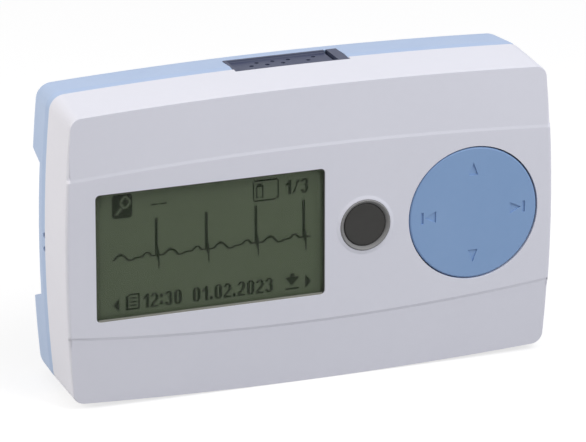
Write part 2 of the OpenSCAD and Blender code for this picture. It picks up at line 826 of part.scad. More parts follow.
// Flat chip package with a pin-one dimple
module chip(at, w, h, t) {
    translate([at.x, 0, at.y]) difference() {
        along_y(board_back, board_back + t) square([w, h], center = true);
        rod_y(0.6, board_back + t - 0.15, board_back + t + 1, [1.4 - w / 2, h / 2 - 1.4]);
    }
}

module processor() color("darkslategray") placed()
    chip(processor_at, processor_w, processor_w, processor_t);

module memory_chips() color("darkslategray") placed() for (z = memory_rows)
    chip([memory_x, z], memory_w, memory_h, memory_t);

// Pressed can over the input amplifiers, with vent holes
module amplifier_shield() color("silver") placed() translate([shield_at.x, 0, shield_at.y]) difference() {
    along_y(board_back, board_back + shield_t) round_rect(shield_w, shield_h, 0.8);
    along_y(board_back - 1, board_back + shield_t - shield_wall)
        square([shield_w - 2 * shield_wall, shield_h - 2 * shield_wall], center = true);
    for (x = [-2:2], z = [-1:1])
        rod_y(0.6, board_back + 1, board_back + shield_t + 1, [x * shield_w / 6, z * shield_h / 4]);
}

// Small board with a metal can and a bare end for its aerial
module radio_module() color("seagreen") placed() translate([radio_at.x, 0, radio_at.y]) {
    top = board_back + radio_board_t;
    along_y(board_back, top) square([radio_w, radio_h], center = true);
    along_y(top, top + radio_can_t) translate([-2, 0]) round_rect(radio_w - 5, radio_h - 1, 0.5);
}

// Round sounder with a hole in its lid
module buzzer() color("black") placed() difference() {
    rod_y(buzzer_r, board_back, board_back + buzzer_t, buzzer_at);
    rod_y(1, board_back + buzzer_t - 1.5, board_back + buzzer_t + 1, buzzer_at);
}

// Small coin cell that keeps the clock running
module clock_cell() color("silver") placed()
    rod_y(coin_r, board_back + coin_seat, board_back + coin_seat + coin_t, coin_at);

module clock_cell_holder() color("ivory") placed() difference() {
    rod_y(coin_r + 1, board_back, board_back + coin_seat + 1.2, coin_at);
    rod_y(coin_r + run_gap, board_back + coin_seat, board_back + coin_seat + coin_t, coin_at);
}

// Socket body in the recess of the top: a shallow pocket with pin holes, a groove and a ledge
module patient_socket() color("darkslategray") placed() difference() {
    left = socket_x - socket_w / 2;
    right = socket_x + socket_w / 2;
    back = front_d + socket_t;
    fit = 0.1;
    ledge_x = right - key_in;
    union() {
        block([left - socket_lip, board_back, socket_foot],
            [right + socket_lip, back + 1, socket_skirt - fit]);
        block([left + fit, socket_front + fit, socket_foot], [right - fit, back - fit, socket_rim_top]);
    }
    block([left + fit + socket_rim, socket_front + fit + socket_rim, socket_top],
        [ledge_x - key_w / 2, back - fit - socket_rim, half_h]);
    for (p = pin_places()) translate([p.x, p.y, sleeve_foot()]) {
        cylinder(r = pin_hole_r, h = half_h);
        cylinder(r = pin_hole_r + sleeve_wall + run_gap, h = sleeve_l + run_gap);
        translate([0, 0, 1]) rotate([90, 0, 0]) cylinder(r = tail_r + run_gap, h = case_d, $fn = 16);
    }
    block([ledge_x - key_w, socket_front + fit + socket_rim, socket_top - key_depth],
        [ledge_x, back, half_h]);
}

function sleeve_foot() = socket_foot + 2;

// Centres of the pin holes, in two groups and two rows
function pin_places() =
    [for (i = [0:len(pin_steps) - 1])
        [socket_x + pin_steps[i] * pin_pitch, socket_mid + pin_back + (i % 2 == 0 ? -pin_row : pin_row)]];

// Sleeve contacts in the pin holes, with tails to the board
module socket_contacts() color("gold") placed()
    for (p = pin_places()) translate([p.x, p.y, sleeve_foot()]) {
        difference() {
            cylinder(r = pin_hole_r + sleeve_wall, h = sleeve_l, $fn = 32);
            translate([0, 0, 2]) cylinder(r = pin_hole_r, h = sleeve_l, $fn = 32);
        }
        translate([0, 0, 1]) rotate([90, 0, 0]) cylinder(r = tail_r, h = p.y - board_back, $fn = 16);
    }

// Round cell with its raised cap towards the right
module round_cell() color("steelblue") placed() translate([cell_x0, cell_y, cell_z])
    rotate([0, 90, 0]) rotate_extrude() polygon([
        [0, 0], [cell_d / 2 - 1.2, 0], [cell_d / 2 - 0.3, 0.3], [cell_d / 2, 0.8],
        [cell_d / 2, cell_l - 0.8], [cell_d / 2 - 0.6, cell_l], [1.9, cell_l],
        [1.9, cell_l + cap_l - 0.3], [1.6, cell_l + cap_l], [0, cell_l + cap_l]]);

// Ring of points across the spring's wire at turn t
function wire_ring(t, x0, x1) =
    let (a = 360 * t, share = t / spring_turns, x = x0 + (x1 - x0) * share)
    let (r = spring_wide_r + (spring_narrow_r - spring_wide_r) * share)
    [for (k = [0:5]) let (b = 60 * k)
        [x + spring_wire_r * sin(b), (r + spring_wire_r * cos(b)) * cos(a),
            (r + spring_wire_r * cos(b)) * sin(a)]];

// Tapered coil spring and its plate at the cell's flat end
module cell_spring() color("silver") placed() translate([0, cell_y, cell_z]) {
    steps = 12 * spring_turns;
    x0 = bay_x0 + plate_t + spring_wire_r / 2;
    x1 = cell_x0 - spring_wire_r - run_gap;
    rings = [for (i = [0:steps]) wire_ring(spring_turns * i / steps, x0, x1)];
    polyhedron(
        points = [for (ring = rings, p = ring) p],
        faces = concat(
            [[for (k = [5:-1:0]) k]],
            [for (i = [0:steps - 1], k = [0:5]) let (a = 6 * i + k, b = 6 * i + (k + 1) % 6)
                [b, a + 6, a]],
            [for (i = [0:steps - 1], k = [0:5]) let (a = 6 * i + k, b = 6 * i + (k + 1) % 6)
                [b + 6, a + 6, b]],
            [[for (k = [0:5]) 6 * steps + k]]));
    contact_plate(bay_x0);
}

// Square plate with a tail that reaches the board
module contact_plate(x) {
    block([x, -plate_half, -plate_half], [x + plate_t, plate_half, plate_half]);
    block([x, board_back - cell_y, -tail_half], [x + plate_t, eps - plate_half, tail_half]);
}

// Plate at the cell's cap end
module cell_plate() color("silver") placed() translate([0, cell_y, cell_z])
    contact_plate(bay_x1 - plate_t);

// Upright holder on the board for the small memory card
module card_holder() color("silver") placed() difference() {
    block([card_x - slot_w / 2, board_back, card_z - slot_t / 2],
        [card_x + slot_w / 2, board_back + slot_l, card_z + slot_t / 2]);
    block([card_x - card_w / 2 - soft_gap, board_back + 0.4, card_z - card_t / 2 - run_gap],
        [card_x + card_w / 2 + soft_gap, board_back + slot_l + 1, card_z + card_t / 2 + run_gap]);
}

// Memory card standing in its holder, with one notched corner
module memory_card() color("black") placed()
    translate([card_x, board_back + 0.5, card_z - card_t / 2])
        linear_extrude(height = card_t) polygon([
            [-card_w / 2, 0], [card_w / 2 - 1, 0], [card_w / 2, 1], [card_w / 2, card_l],
            [-card_w / 2, card_l]]);

front_casing();
rear_casing();
casing_seal();
battery_door();
display_window();
display_glass();
light_guide();
display_frame();
display_ribbon();
ribbon_connector();
event_button();
button_collar();
event_switch();
navigation_pad();
pad_gimbal();
gimbal_bracket();
pad_switches();
main_board();
board_screws();
casing_screws();
processor();
memory_chips();
amplifier_shield();
radio_module();
buzzer();
clock_cell();
clock_cell_holder();
patient_socket();
socket_contacts();
round_cell();
cell_spring();
cell_plate();
card_holder();
memory_card();
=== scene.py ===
"""Looks of a handheld heart recorder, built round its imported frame.

Every length is in metres, in the frame of the CAD model: the face looks along -Y, Z is up, and the
recorder stands on the plane z = 0. The shells are merged copies of the CAD solids with softened edges,
the keys are turned, and the display's picture is set dot by dot.
"""
import logging
import math
from dataclasses import dataclass, field
from enum import Enum
from typing import Callable, Iterable, Sequence

import bmesh
import bpy
from mathutils import Matrix, Vector


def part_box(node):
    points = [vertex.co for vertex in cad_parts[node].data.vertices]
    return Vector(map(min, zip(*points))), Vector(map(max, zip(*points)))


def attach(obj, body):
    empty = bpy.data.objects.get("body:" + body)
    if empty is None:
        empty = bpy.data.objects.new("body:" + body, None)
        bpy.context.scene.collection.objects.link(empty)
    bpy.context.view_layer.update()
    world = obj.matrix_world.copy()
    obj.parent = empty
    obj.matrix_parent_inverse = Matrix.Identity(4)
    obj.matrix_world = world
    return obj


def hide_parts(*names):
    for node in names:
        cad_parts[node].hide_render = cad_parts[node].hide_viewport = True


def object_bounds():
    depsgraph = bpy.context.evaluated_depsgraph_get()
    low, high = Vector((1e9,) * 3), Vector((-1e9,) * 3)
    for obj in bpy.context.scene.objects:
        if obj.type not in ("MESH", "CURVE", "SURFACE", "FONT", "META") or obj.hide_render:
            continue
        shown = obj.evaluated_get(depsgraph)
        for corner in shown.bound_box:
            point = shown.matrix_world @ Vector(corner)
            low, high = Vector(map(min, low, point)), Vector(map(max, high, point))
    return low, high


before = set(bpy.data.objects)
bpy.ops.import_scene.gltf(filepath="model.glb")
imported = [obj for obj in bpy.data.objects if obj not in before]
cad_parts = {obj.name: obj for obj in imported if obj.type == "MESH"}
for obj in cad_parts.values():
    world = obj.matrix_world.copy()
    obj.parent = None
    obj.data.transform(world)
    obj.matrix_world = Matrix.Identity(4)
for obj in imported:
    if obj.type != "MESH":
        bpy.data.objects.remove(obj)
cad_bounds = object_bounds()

log = logging.getLogger("recorder")
MM = 0.001
Pair = tuple[float, float]
Triple = tuple[float, float, float]
Span = tuple[float, float, float, float]
Profile = tuple[Pair, ...]
Colour = Triple
Socket = bpy.types.NodeSocket


class Body(Enum):
    """Bodies of the CAD model that a new piece can ride on."""

    HOUSING = "housing"
    EVENT_KEY = "event_key"
    PAD = "pad"
    DOOR = "door"


class Axis(Enum):
    """Direction of a drawn or rolled finish, as its stretch along X, Y and Z."""

    X = (0.04, 1.0, 1.0)
    Z = (1.0, 1.0, 0.04)


class Sketch:
    """Adds nodes to one tree and joins them."""

    column_width = 220
    lane_height = 160
    lanes = 3

    def __init__(self, tree: bpy.types.NodeTree) -> None:
        """Starts an empty tree.

        Args:
            tree: The tree to fill; what it held is removed.
        """
        self.tree = tree
        self.column = 0
        tree.nodes.clear()

    def node(self, kind: str, **settings: object) -> bpy.types.Node:
        """Adds a node.

        Args:
            kind: The node's type name, without ShaderNode in front.
            settings: Properties of the node.

        Returns:
            The new node.
        """
        made = self.tree.nodes.new(kind if kind.startswith("Node") else "ShaderNode" + kind)
        self.column += 1
        made.location = (self.column_width * self.column, -self.lane_height * (self.column % self.lanes))
        for name, value in settings.items():
            setattr(made, name, value)
        return made

    def feed(self, target: Socket, value: object) -> None:
        """Links a socket to an input, or writes a plain value on it.

        Args:
            target: The input.
            value: A socket, a number, a vector or a colour.
        """
        if isinstance(value, bpy.types.NodeSocket):
            self.tree.links.new(value, target)
        elif isinstance(value, (tuple, list)) and target.type == "RGBA" and len(value) == 3:
            target.default_value = (*value, 1.0)
        else:
            target.default_value = value

    def wired(self, kind: str, inputs: dict[int | str, object], **settings: object) -> bpy.types.Node:
        """Adds a node and feeds its inputs.

        Args:
            kind: The node's type name, without ShaderNode in front.
            inputs: Sockets or plain values, by the input's name or number.
            settings: Properties of the node.

        Returns:
            The new node.
        """
        made = self.node(kind, **settings)
        for place, value in inputs.items():
            self.feed(made.inputs[place], value)
        return made

    def math(self, operation: str, a: object, b: object = 0.0) -> Socket:
        """Adds a Math node and gives its result."""
        return self.wired("Math", {0: a, 1: b}, operation=operation).outputs[0]

    def plus(self, a: object, b: object) -> Socket:
        """Adds two values."""
        return self.math("ADD", a, b)

    def times(self, a: object, b: object) -> Socket:
        """Multiplies two values."""
        return self.math("MULTIPLY", a, b)

    def vector(self, operation: str, a: object, b: object) -> bpy.types.Node:
        """Adds a Vector Math node, whose output is Vector or Value."""
        return self.wired("VectorMath", {0: a, 1: b}, operation=operation)

    def mix(self, share: object, a: object, b: object) -> Socket:
        """Mixes two colours by the share of the second one."""
        return self.wired("Mix", {0: share, 6: a, 7: b}, data_type="RGBA").outputs[2]

    def noise(self, vector: object, scale: object, detail: float = 2.0, rough: float = 0.5) -> Socket:
        """Adds a noise texture, whose value is about 0.5 on average."""
        fed = {"Vector": vector, "Scale": scale, "Detail": detail, "Roughness": rough}
        return self.wired("TexNoise", fed, noise_dimensions="3D").outputs[0]

    def cells(self, vector: object, scale: object, **settings: object) -> Socket:
        """Adds a Voronoi texture and gives its distance."""
        return self.wired("TexVoronoi", {"Vector": vector, "Scale": scale}, **settings).outputs["Distance"]

    def ramp(self, value: object, low: float, high: float, to_low: float = 0.0,
             to_high: float = 1.0) -> Socket:
        """Maps the range from low to high smoothly to another one."""
        ends = {"From Min": low, "From Max": high, "To Min": to_low, "To Max": to_high}
        return self.wired("MapRange", {**ends, "Value": value}, interpolation_type="SMOOTHSTEP").outputs[0]

    def apart(self, vector: object) -> list[Socket]:
        """Splits a vector into sockets of X, Y and Z."""
        return list(self.wired("SeparateXYZ", {0: vector}).outputs)


class Effect(Enum):
    """Shared effects, each one a shader node group."""

    MOTTLE = "colour mottle"
    GRAIN = "moulded grain"
    WEAR = "worn edges"
    DUST = "settled dust"
    CREVICE = "crevice film"
    SCRATCHES = "fine scratches"
    DRAWN = "drawn metal"
    FRAMED = "framed field"


class EffectShelf:
    """Builds each shared effect once and places it in materials."""

    probes = 6
    close_ratio = 9.0
    close_share = 0.4
    pit_share = 0.6
    pit_ratio = 1.7
    patch_scale = 140.0
    wear_radius = 0.45 * MM
    wear_turn = (0.995, 0.8)
    wear_scale = 260.0
    wear_patches = (0.42, 0.66)
    dust_level = (0.2, 0.95)
    speck_scale = 2600.0
    speck_span = (0.56, 0.72)
    film_scale = 90.0
    film_span = (0.35, 0.75, 0.0, 0.5)
    crevice_reach = 0.8 * MM
    crevice_shade = (0.75, 0.15)
    crevice_scale = 420.0
    crevice_patches = (0.3, 0.7, 0.5, 1.0)
    scratch_scale = 320.0
    scratch_span = (0.71, 0.76)
    scratch_lies = ((0.5, (1.0, 1.0, 26.0)), (-1.1, (30.0, 1.0, 1.0)))
    drawn_scale = 9000.0
    drawn_swing = 0.2

    def __init__(self) -> None:
        """Starts with no group built."""
        self.built: dict[Effect, bpy.types.NodeTree] = {}

    def place(self, sketch: Sketch, effect: Effect, **values: object) -> bpy.types.Node:
        """Places an effect in a material.

        Args:
            sketch: The material's sketch.
            effect: Which effect.
            values: The group's inputs, by name.

        Returns:
            The group node.
        """
        if effect not in self.built:
            self.built[effect] = bpy.data.node_groups.new(effect.value, "ShaderNodeTree")
            getattr(self, effect.name.lower())(self.built[effect])
        made = sketch.node("Group", node_tree=self.built[effect])
        for name, value in values.items():
            sketch.feed(made.inputs[name], value)
        return made

    @staticmethod
    def open(tree: bpy.types.NodeTree, inputs: dict[str, object],
             outputs: Sequence[str]) -> tuple[Sketch, dict[str, Socket], bpy.types.Node]:
        """Makes a group's sockets.

        Args:
            tree: The group.
            inputs: Default of each input, by name, after the Vector that every group reads: a number, a
                vector of three or a colour of four.
            outputs: Names of the outputs, which are values unless the name is Color.

        Returns:
            The sketch, the inputs' sockets inside the group, and the output node.
        """
        sketch = Sketch(tree)
        kinds = {3: "NodeSocketVector", 4: "NodeSocketColor"}
        for name, default in {"Vector": (0.0, 0.0, 0.0), **inputs}.items():
            kind = kinds[len(default)] if isinstance(default, tuple) else "NodeSocketFloat"
            socket = tree.interface.new_socket(name=name, in_out="INPUT", socket_type=kind)
            socket.default_value = default
        for name in outputs:
            kind = "NodeSocketColor" if name == "Color" else "NodeSocketFloat"
            tree.interface.new_socket(name=name, in_out="OUTPUT", socket_type=kind)
        start = sketch.node("NodeGroupInput")
        end = sketch.node("NodeGroupOutput")
        return sketch, {socket.name: socket for socket in start.outputs if socket.name}, end

    def mottle(self, tree: bpy.types.NodeTree) -> None:
        """Slow, slight change of a colour's lightness and strength.

        Args:
            tree: The group to fill.
        """
        s, given, end = self.open(tree, {"Color": (0.8, 0.8, 0.8, 1.0), "Amount": 0.04, "Scale": 60.0},
                                  ["Color"])
        broad = s.noise(given["Vector"], given["Scale"], detail=3.0)
        close = s.noise(given["Vector"], s.times(given["Scale"], self.close_ratio))
        swing = s.plus(s.math("SUBTRACT", broad, 0.5),
                       s.times(s.math("SUBTRACT", close, 0.5), self.close_share))
        change = s.plus(1.0, s.times(swing, s.times(given["Amount"], 2.0)))
        fed = {"Value": change, "Saturation": s.math("SUBTRACT", 2.0, change), "Color": given["Color"]}
        s.feed(end.inputs["Color"], s.wired("HueSaturation", fed).outputs[0])

    def grain(self, tree: bpy.types.NodeTree) -> None:
        """Spark-eroded mould texture: its height, and the patchy roughness that goes with it.

        Args:
            tree: The group to fill.
        """
        s, given, end = self.open(tree, {"Scale": 3000.0, "Roughness": 0.45, "Spread": 0.08},
                                  ["Height", "Roughness"])
        pits = s.cells(given["Vector"], given["Scale"], feature="SMOOTH_F1")
        fine = s.noise(given["Vector"], s.times(given["Scale"], self.pit_ratio), detail=3.0, rough=0.6)
        s.feed(end.inputs["Height"], s.plus(s.times(pits, self.pit_share), fine))
        patches = s.noise(given["Vector"], self.patch_scale, detail=3.0, rough=0.6)
        swing = s.times(s.math("SUBTRACT", patches, 0.5), s.times(given["Spread"], 2.0))
        s.feed(end.inputs["Roughness"], s.plus(given["Roughness"], swing))

    def wear(self, tree: bpy.types.NodeTree) -> None:
        """Mask of edges that hands have polished.

        Args:
            tree: The group to fill.
        """
        s, given, end = self.open(tree, {"Amount": 0.5}, ["Mask"])
        rounded = s.wired("Bevel", {"Radius": self.wear_radius}, samples=self.probes).outputs[0]
        true_normal = s.node("NewGeometry").outputs["Normal"]
        edge = s.ramp(s.vector("DOT_PRODUCT", rounded, true_normal).outputs["Value"], *self.wear_turn)
        patchy = s.noise(given["Vector"], self.wear_scale, detail=4.0, rough=0.7)
        mask = s.times(edge, s.ramp(patchy, *self.wear_patches))
        s.feed(end.inputs["Mask"], s.times(mask, given["Amount"]))

    def dust(self, tree: bpy.types.NodeTree) -> None:
        """Mask of fine dust on surfaces that look up.

        Args:
            tree: The group to fill.
        """
        s, given, end = self.open(tree, {"Amount": 0.2}, ["Mask"])
        level = s.ramp(s.apart(s.node("NewGeometry").outputs["Normal"])[2], *self.dust_level)
        specks = s.ramp(s.noise(given["Vector"], self.speck_scale, rough=0.6), *self.speck_span)
        film = s.ramp(s.noise(given["Vector"], self.film_scale, detail=4.0, rough=0.6), *self.film_span)
        s.feed(end.inputs["Mask"], s.times(s.times(level, s.plus(specks, film)), given["Amount"]))

    def crevice(self, tree: bpy.types.NodeTree) -> None:
        """Mask of narrow gaps, found by ambient occlusion and broken into patches: painted shade in crevices.

        Args:
            tree: The group to fill.
        """
        s, given, end = self.open(tree, {"Amount": 0.4}, ["Mask"])
        shade = s.wired("AmbientOcclusion", {"Distance": self.crevice_reach}, samples=self.probes)
        deep = s.ramp(shade.outputs["AO"], *self.crevice_shade)
        patchy = s.ramp(s.noise(given["Vector"], self.crevice_scale, detail=3.0), *self.crevice_patches)
        s.feed(end.inputs["Mask"], s.times(s.times(deep, patchy), given["Amount"]))

    def scratches(self, tree: bpy.types.NodeTree) -> None:
        """Mask of thin rubbed lines in two directions.

        Args:
            tree: The group to fill.
        """
        s, given, end = self.open(tree, {"Amount": 0.3}, ["Mask"])
        lines = []
        for turn, stretch in self.scratch_lies:
            fed = {"Vector": given["Vector"], "Rotation": (0.0, turn, 0.0), "Scale": stretch}
            lie = s.wired("Mapping", fed).outputs[0]
            lines.append(s.ramp(s.noise(lie, self.scratch_scale, rough=0.7), *self.scratch_span))
        s.feed(end.inputs["Mask"], s.times(s.math("MAXIMUM", *lines), given["Amount"]))

    def drawn(self, tree: bpy.types.NodeTree) -> None:
        """Fine parallel lines left by drawing or rolling: their height and roughness.

        Args:
            tree: The group to fill.
        """
        s, given, end = self.open(tree, {"Stretch": Axis.X.value, "Roughness": 0.3}, ["Height", "Roughness"])
        lie = s.vector("MULTIPLY", given["Vector"], given["Stretch"]).outputs["Vector"]
        lines = s.noise(lie, self.drawn_scale, detail=3.0, rough=0.7)
        s.feed(end.inputs["Height"], lines)
        swing = s.times(s.math("SUBTRACT", lines, 0.5), self.drawn_swing)
        s.feed(end.inputs["Roughness"], s.plus(given["Roughness"], swing))

    def framed(self, tree: bpy.types.NodeTree) -> None:
        """Mask of a rectangle seen from the front, which fades in from its four sides.

        Args:
            tree: The group to fill. Its Fade holds the widths at the left, the right and both ends of Z.
        """
        s, given, end = self.open(tree, {"Low": (0.0, 0.0, 0.0), "High": (1.0, 1.0, 1.0),
                                         "Fade": (MM, MM, MM)}, ["Mask"])
        x0, _, z0 = s.apart(s.vector("SUBTRACT", given["Vector"], given["Low"]).outputs["Vector"])
        x1, _, z1 = s.apart(s.vector("SUBTRACT", given["High"], given["Vector"]).outputs["Vector"])
        left, right, ends = s.apart(given["Fade"])
        across = s.math("MINIMUM", s.math("DIVIDE", x0, left), s.math("DIVIDE", x1, right))
        upright = s.math("DIVIDE", s.math("MINIMUM", z0, z1), ends)
        s.feed(end.inputs["Mask"], s.ramp(s.math("MINIMUM", across, upright), 0.0, 1.0))


SHELF = EffectShelf()


class Swatch(Sketch):
    """Sketch of one material, with its Principled surface and the place where patterns are read."""

    noise_span = (0.3, 0.7)

    def __init__(self, material: bpy.types.Material) -> None:
        """Starts the material.

        Args:
            material: The material to fill.
        """
        material.use_nodes = True
        super().__init__(material.node_tree)
        self.place = self.node("TexCoord").outputs["Object"]
        self.surface = self.node("BsdfPrincipled")

    def plain(self, **values: object) -> None:
        """Writes even values on the surface's own sockets, named with underscores for spaces."""
        for name, value in values.items():
            self.surface.inputs[name.replace("_", " ")].default_value = value

    def effect(self, effect: Effect, **values: object) -> bpy.types.Node:
        """Places a shared effect that reads this material's place."""
        return SHELF.place(self, effect, Vector=self.place, **values)

    def mask(self, effect: Effect, amount: float) -> Socket:
        """Places a shared effect that gives a mask."""
        return self.effect(effect, Amount=amount).outputs["Mask"]

    def mottled(self, colour: object, amount: float, scale: float) -> Socket:
        """Gives a colour a slight, uneven change."""
        return self.effect(Effect.MOTTLE, Color=colour, Amount=amount, Scale=scale).outputs["Color"]

    def uneven(self, scale: float, span: Pair) -> Socket:
        """Gives a value that wanders over the surface between the two ends of a span."""
        return self.ramp(self.noise(self.place, scale), *self.noise_span, *span)

    def show(self, colour: object, rough: object) -> None:
        """Wires the base colour and the roughness."""
        self.feed(self.surface.inputs["Base Color"], colour)
        self.feed(self.surface.inputs["Roughness"], rough)

    def relief(self, height: object, depth: float, strength: float = 1.0) -> None:
        """Adds relief.

        Args:
            height: The relief's pattern, about 0 to 1.
            depth: Height of the relief, in metres.
            strength: Share of it that shows.
        """
        made = self.wired("Bump", {"Distance": depth, "Strength": strength, "Height": height})
        self.feed(self.surface.inputs["Normal"], made.outputs[0])

    def output(self, shader: Socket) -> None:
        """Joins a shader to the material's output."""
        self.wired("OutputMaterial", {"Surface": shader})


@dataclass(frozen=True)
class Finish:
    """A material. Each kind of finish adds its own fields and its own look.

    A scale is in cells per metre. A span of two numbers is the range that is read off a pattern, and one of
    four adds the two results. A rough_span holds the two ends of the roughness.
    """

    name: str
    colour: Colour
    mottle: float = 0.05
    mottle_scale: float = 60.0
    specular: float = 0.5

    def shade(self, s: Swatch) -> None:
        """Wires the surface's sockets on the swatch; every kind of finish has its own."""
        raise NotImplementedError

    def base(self, s: Swatch) -> Socket:
        """Wires the finish's own colour, slightly mottled."""
        return s.mottled(self.colour, self.mottle, self.mottle_scale)

    def close(self, s: Swatch) -> None:
        """Joins the surface to the output of the swatch."""
        s.output(s.surface.outputs[0])

    def tint(self, share: float, add: float = 0.0) -> Colour:
        """Gives a lighter or darker tone of the finish's colour.

        Args:
            share: What the colour is multiplied by.
            add: What is added to it.

        Returns:
            The tone, no brighter than 0.95.
        """
        return tuple(min(0.95, add + share * part) for part in self.colour)

    def material(self) -> bpy.types.Material:
        """Builds the material, or finds it where it is built already.

        Returns:
            The material.
        """
        found = bpy.data.materials.get(self.name)
        if found is not None:
            return found
        made = bpy.data.materials.new(self.name)
        swatch = Swatch(made)
        swatch.plain(Specular_IOR_Level=self.specular)
        self.shade(swatch)
        self.close(swatch)
        made.diffuse_color = (*self.colour, 1.0)
        return made


@dataclass(frozen=True)
class MouldedPlastic(Finish):
    """Injection moulded plastic with eroded grain, slight mottle, polished edges, dust and painted shade in
    its crevices.
    """

    mottle: float = 0.03
    specular: float = 0.4
    roughness: float = 0.45
    grain_scale: float = 3000.0
    grain_depth: float = 0.004 * MM
    wear: float = 0.35
    worn_tone: Pair = (0.92, 0.12)
    worn_polish: float = 0.15
    # film sets the strength of the painted crevice shade, and the next field its darkness.
    film: float = 0.25
    film_tone: float = 0.45
    dust: float = 0.08
    dust_matt: float = 0.3
    dust_colour: Colour = (0.72, 0.71, 0.69)

    def shade(self, s: Swatch) -> None:
        """Wires the plastic.

        Args:
            s: The swatch to fill.
        """
        grain = s.effect(Effect.GRAIN, Scale=self.grain_scale, Roughness=self.roughness)
        worn = s.mask(Effect.WEAR, self.wear)
        dusty = s.mask(Effect.DUST, self.dust)
        colour = s.mix(worn, self.base(s), self.tint(*self.worn_tone))
        # Painted shade: darkens narrow gaps where ambient occlusion is high.
        colour = s.mix(s.mask(Effect.CREVICE, self.film), colour, self.tint(self.film_tone))
        rough = s.math("SUBTRACT", grain.outputs["Roughness"], s.times(worn, self.worn_polish))
        s.show(s.mix(dusty, colour, self.dust_colour), s.plus(rough, s.times(dusty, self.dust_matt)))
        s.relief(grain.outputs["Height"], self.grain_depth)


@dataclass(frozen=True)
class SoftRubber(Finish):
    """Matt rubber with a velvety bloom, fine pits and a greyed rim."""

    mottle: float = 0.08
    mottle_scale: float = 400.0
    specular: float = 0.3
    roughness: float = 0.62
    spread: float = 0.1
    grain_scale: float = 4500.0
    grain_depth: float = 0.006 * MM
    wear: float = 0.35
    bloom: Colour = (0.16, 0.16, 0.155)
    dust: float = 0.2
    dust_colour: Colour = (0.40, 0.40, 0.39)

    def shade(self, s: Swatch) -> None:
        """Wires the rubber.

        Args:
            s: The swatch to fill.
        """
        grain = s.effect(Effect.GRAIN, Scale=self.grain_scale, Roughness=self.roughness, Spread=self.spread)
        colour = s.mix(s.mask(Effect.WEAR, self.wear), self.base(s), self.bloom)
        s.show(s.mix(s.mask(Effect.DUST, self.dust), colour, self.dust_colour), grain.outputs["Roughness"])
        s.relief(grain.outputs["Height"], self.grain_depth)


@dataclass(frozen=True)
class ClearPane(Finish):
    """Clear acrylic with rub marks, which lets light through."""

    specular: float = 0.1
    roughness: float = 0.008
    ior: float = 1.49
    sheen: tuple[float, float, float, float] = (0.15, 0.15, 0.15, 1.0)
    film_scale: float = 120.0
    film_span: Span = (0.4, 0.75, 0.0, 0.01)
    rub: float = 0.25
    rub_matt: float = 0.25
    rub_colour: Colour = (0.95, 0.95, 0.95)
    shadow_tint: Colour = (0.93, 0.94, 0.93)

    def shade(self, s: Swatch) -> None:
        """Wires the pane.

        Args:
            s: The swatch to fill.
        """
        s.plain(Transmission_Weight=1.0, IOR=self.ior, Specular_Tint=self.sheen)
        rubbed = s.mask(Effect.SCRATCHES, self.rub)
        film = s.ramp(s.noise(s.place, self.film_scale, detail=4.0), *self.film_span)
        rough = s.plus(film, s.times(rubbed, self.rub_matt))
        s.show(s.mix(rubbed, self.colour, self.rub_colour), s.plus(self.roughness, rough))

    def close(self, s: Swatch) -> None:
        """Lets shadow rays pass straight through.

        Args:
            s: The swatch to close.
        """
        through = s.wired("BsdfTransparent", {"Color": self.shadow_tint}).outputs[0]
        shadow = s.node("LightPath").outputs["Is Shadow Ray"]
        s.output(s.wired("MixShader", {0: shadow, 1: s.surface.outputs[0], 2: through}).outputs[0])


@dataclass(frozen=True)
class PolariserPanel(Finish):
    """Reflective display panel behind a satin polariser, with painted shade in a strip along the left edge
    and painted light along the top and right edges.
    """

    mottle_scale: float = 45.0
    specular: float = 0.06
    low: Triple = (0.0, 0.0, 0.0)
    high: Triple = (1.0, 1.0, 1.0)
    # The next three fields paint shade along the left edge; the two after them paint light along the top and
    # right edges.
    painted_shade_from: float = 1.2 * MM
    strip: Triple = (0.7 * MM, 0.01 * MM, 0.01 * MM)
    painted_shade_tone: float = 0.82
    lit: Triple = (0.01 * MM, 2.0 * MM, 2.6 * MM)
    painted_light_tone: float = 1.4
    grain_scale: float = 7000.0
    grain_depth: float = 0.002 * MM
    grain_span: Span = (0.3, 0.7, 0.42, 0.55)

    def shade(self, s: Swatch) -> None:
        """Wires the panel.

        Args:
            s: The swatch to fill.
        """
        # Painted light brightens the top and right edges against the opening's shadow; painted shade darkens
        # a strip along the left edge.
        left, deep, foot = self.low
        below = (left, deep, foot - self.lit[2])
        lit = s.effect(Effect.FRAMED, Low=below, High=self.high, Fade=self.lit).outputs["Mask"]
        past = (left + self.painted_shade_from, deep, foot)
        strip = s.effect(Effect.FRAMED, Low=past, High=self.high, Fade=self.strip).outputs["Mask"]
        tone = s.mix(strip, self.tint(self.painted_shade_tone), s.mix(lit, self.tint(self.painted_light_tone), self.colour))
        fine = s.noise(s.place, self.grain_scale, rough=0.6)
        s.show(s.mottled(tone, self.mottle, self.mottle_scale), s.ramp(fine, *self.grain_span))
        s.relief(fine, self.grain_depth)


@dataclass(frozen=True)
class Inked(Finish):
    """Switched liquid crystal dots: dark and slightly uneven."""

    mottle: float = 0.15
    mottle_scale: float = 220.0
    rough_scale: float = 5000.0
    rough_span: Pair = (0.45, 0.6)
    specular: float = 0.06

    def shade(self, s: Swatch) -> None:
        """Wires the dots."""
        s.show(self.base(s), s.uneven(self.rough_scale, self.rough_span))


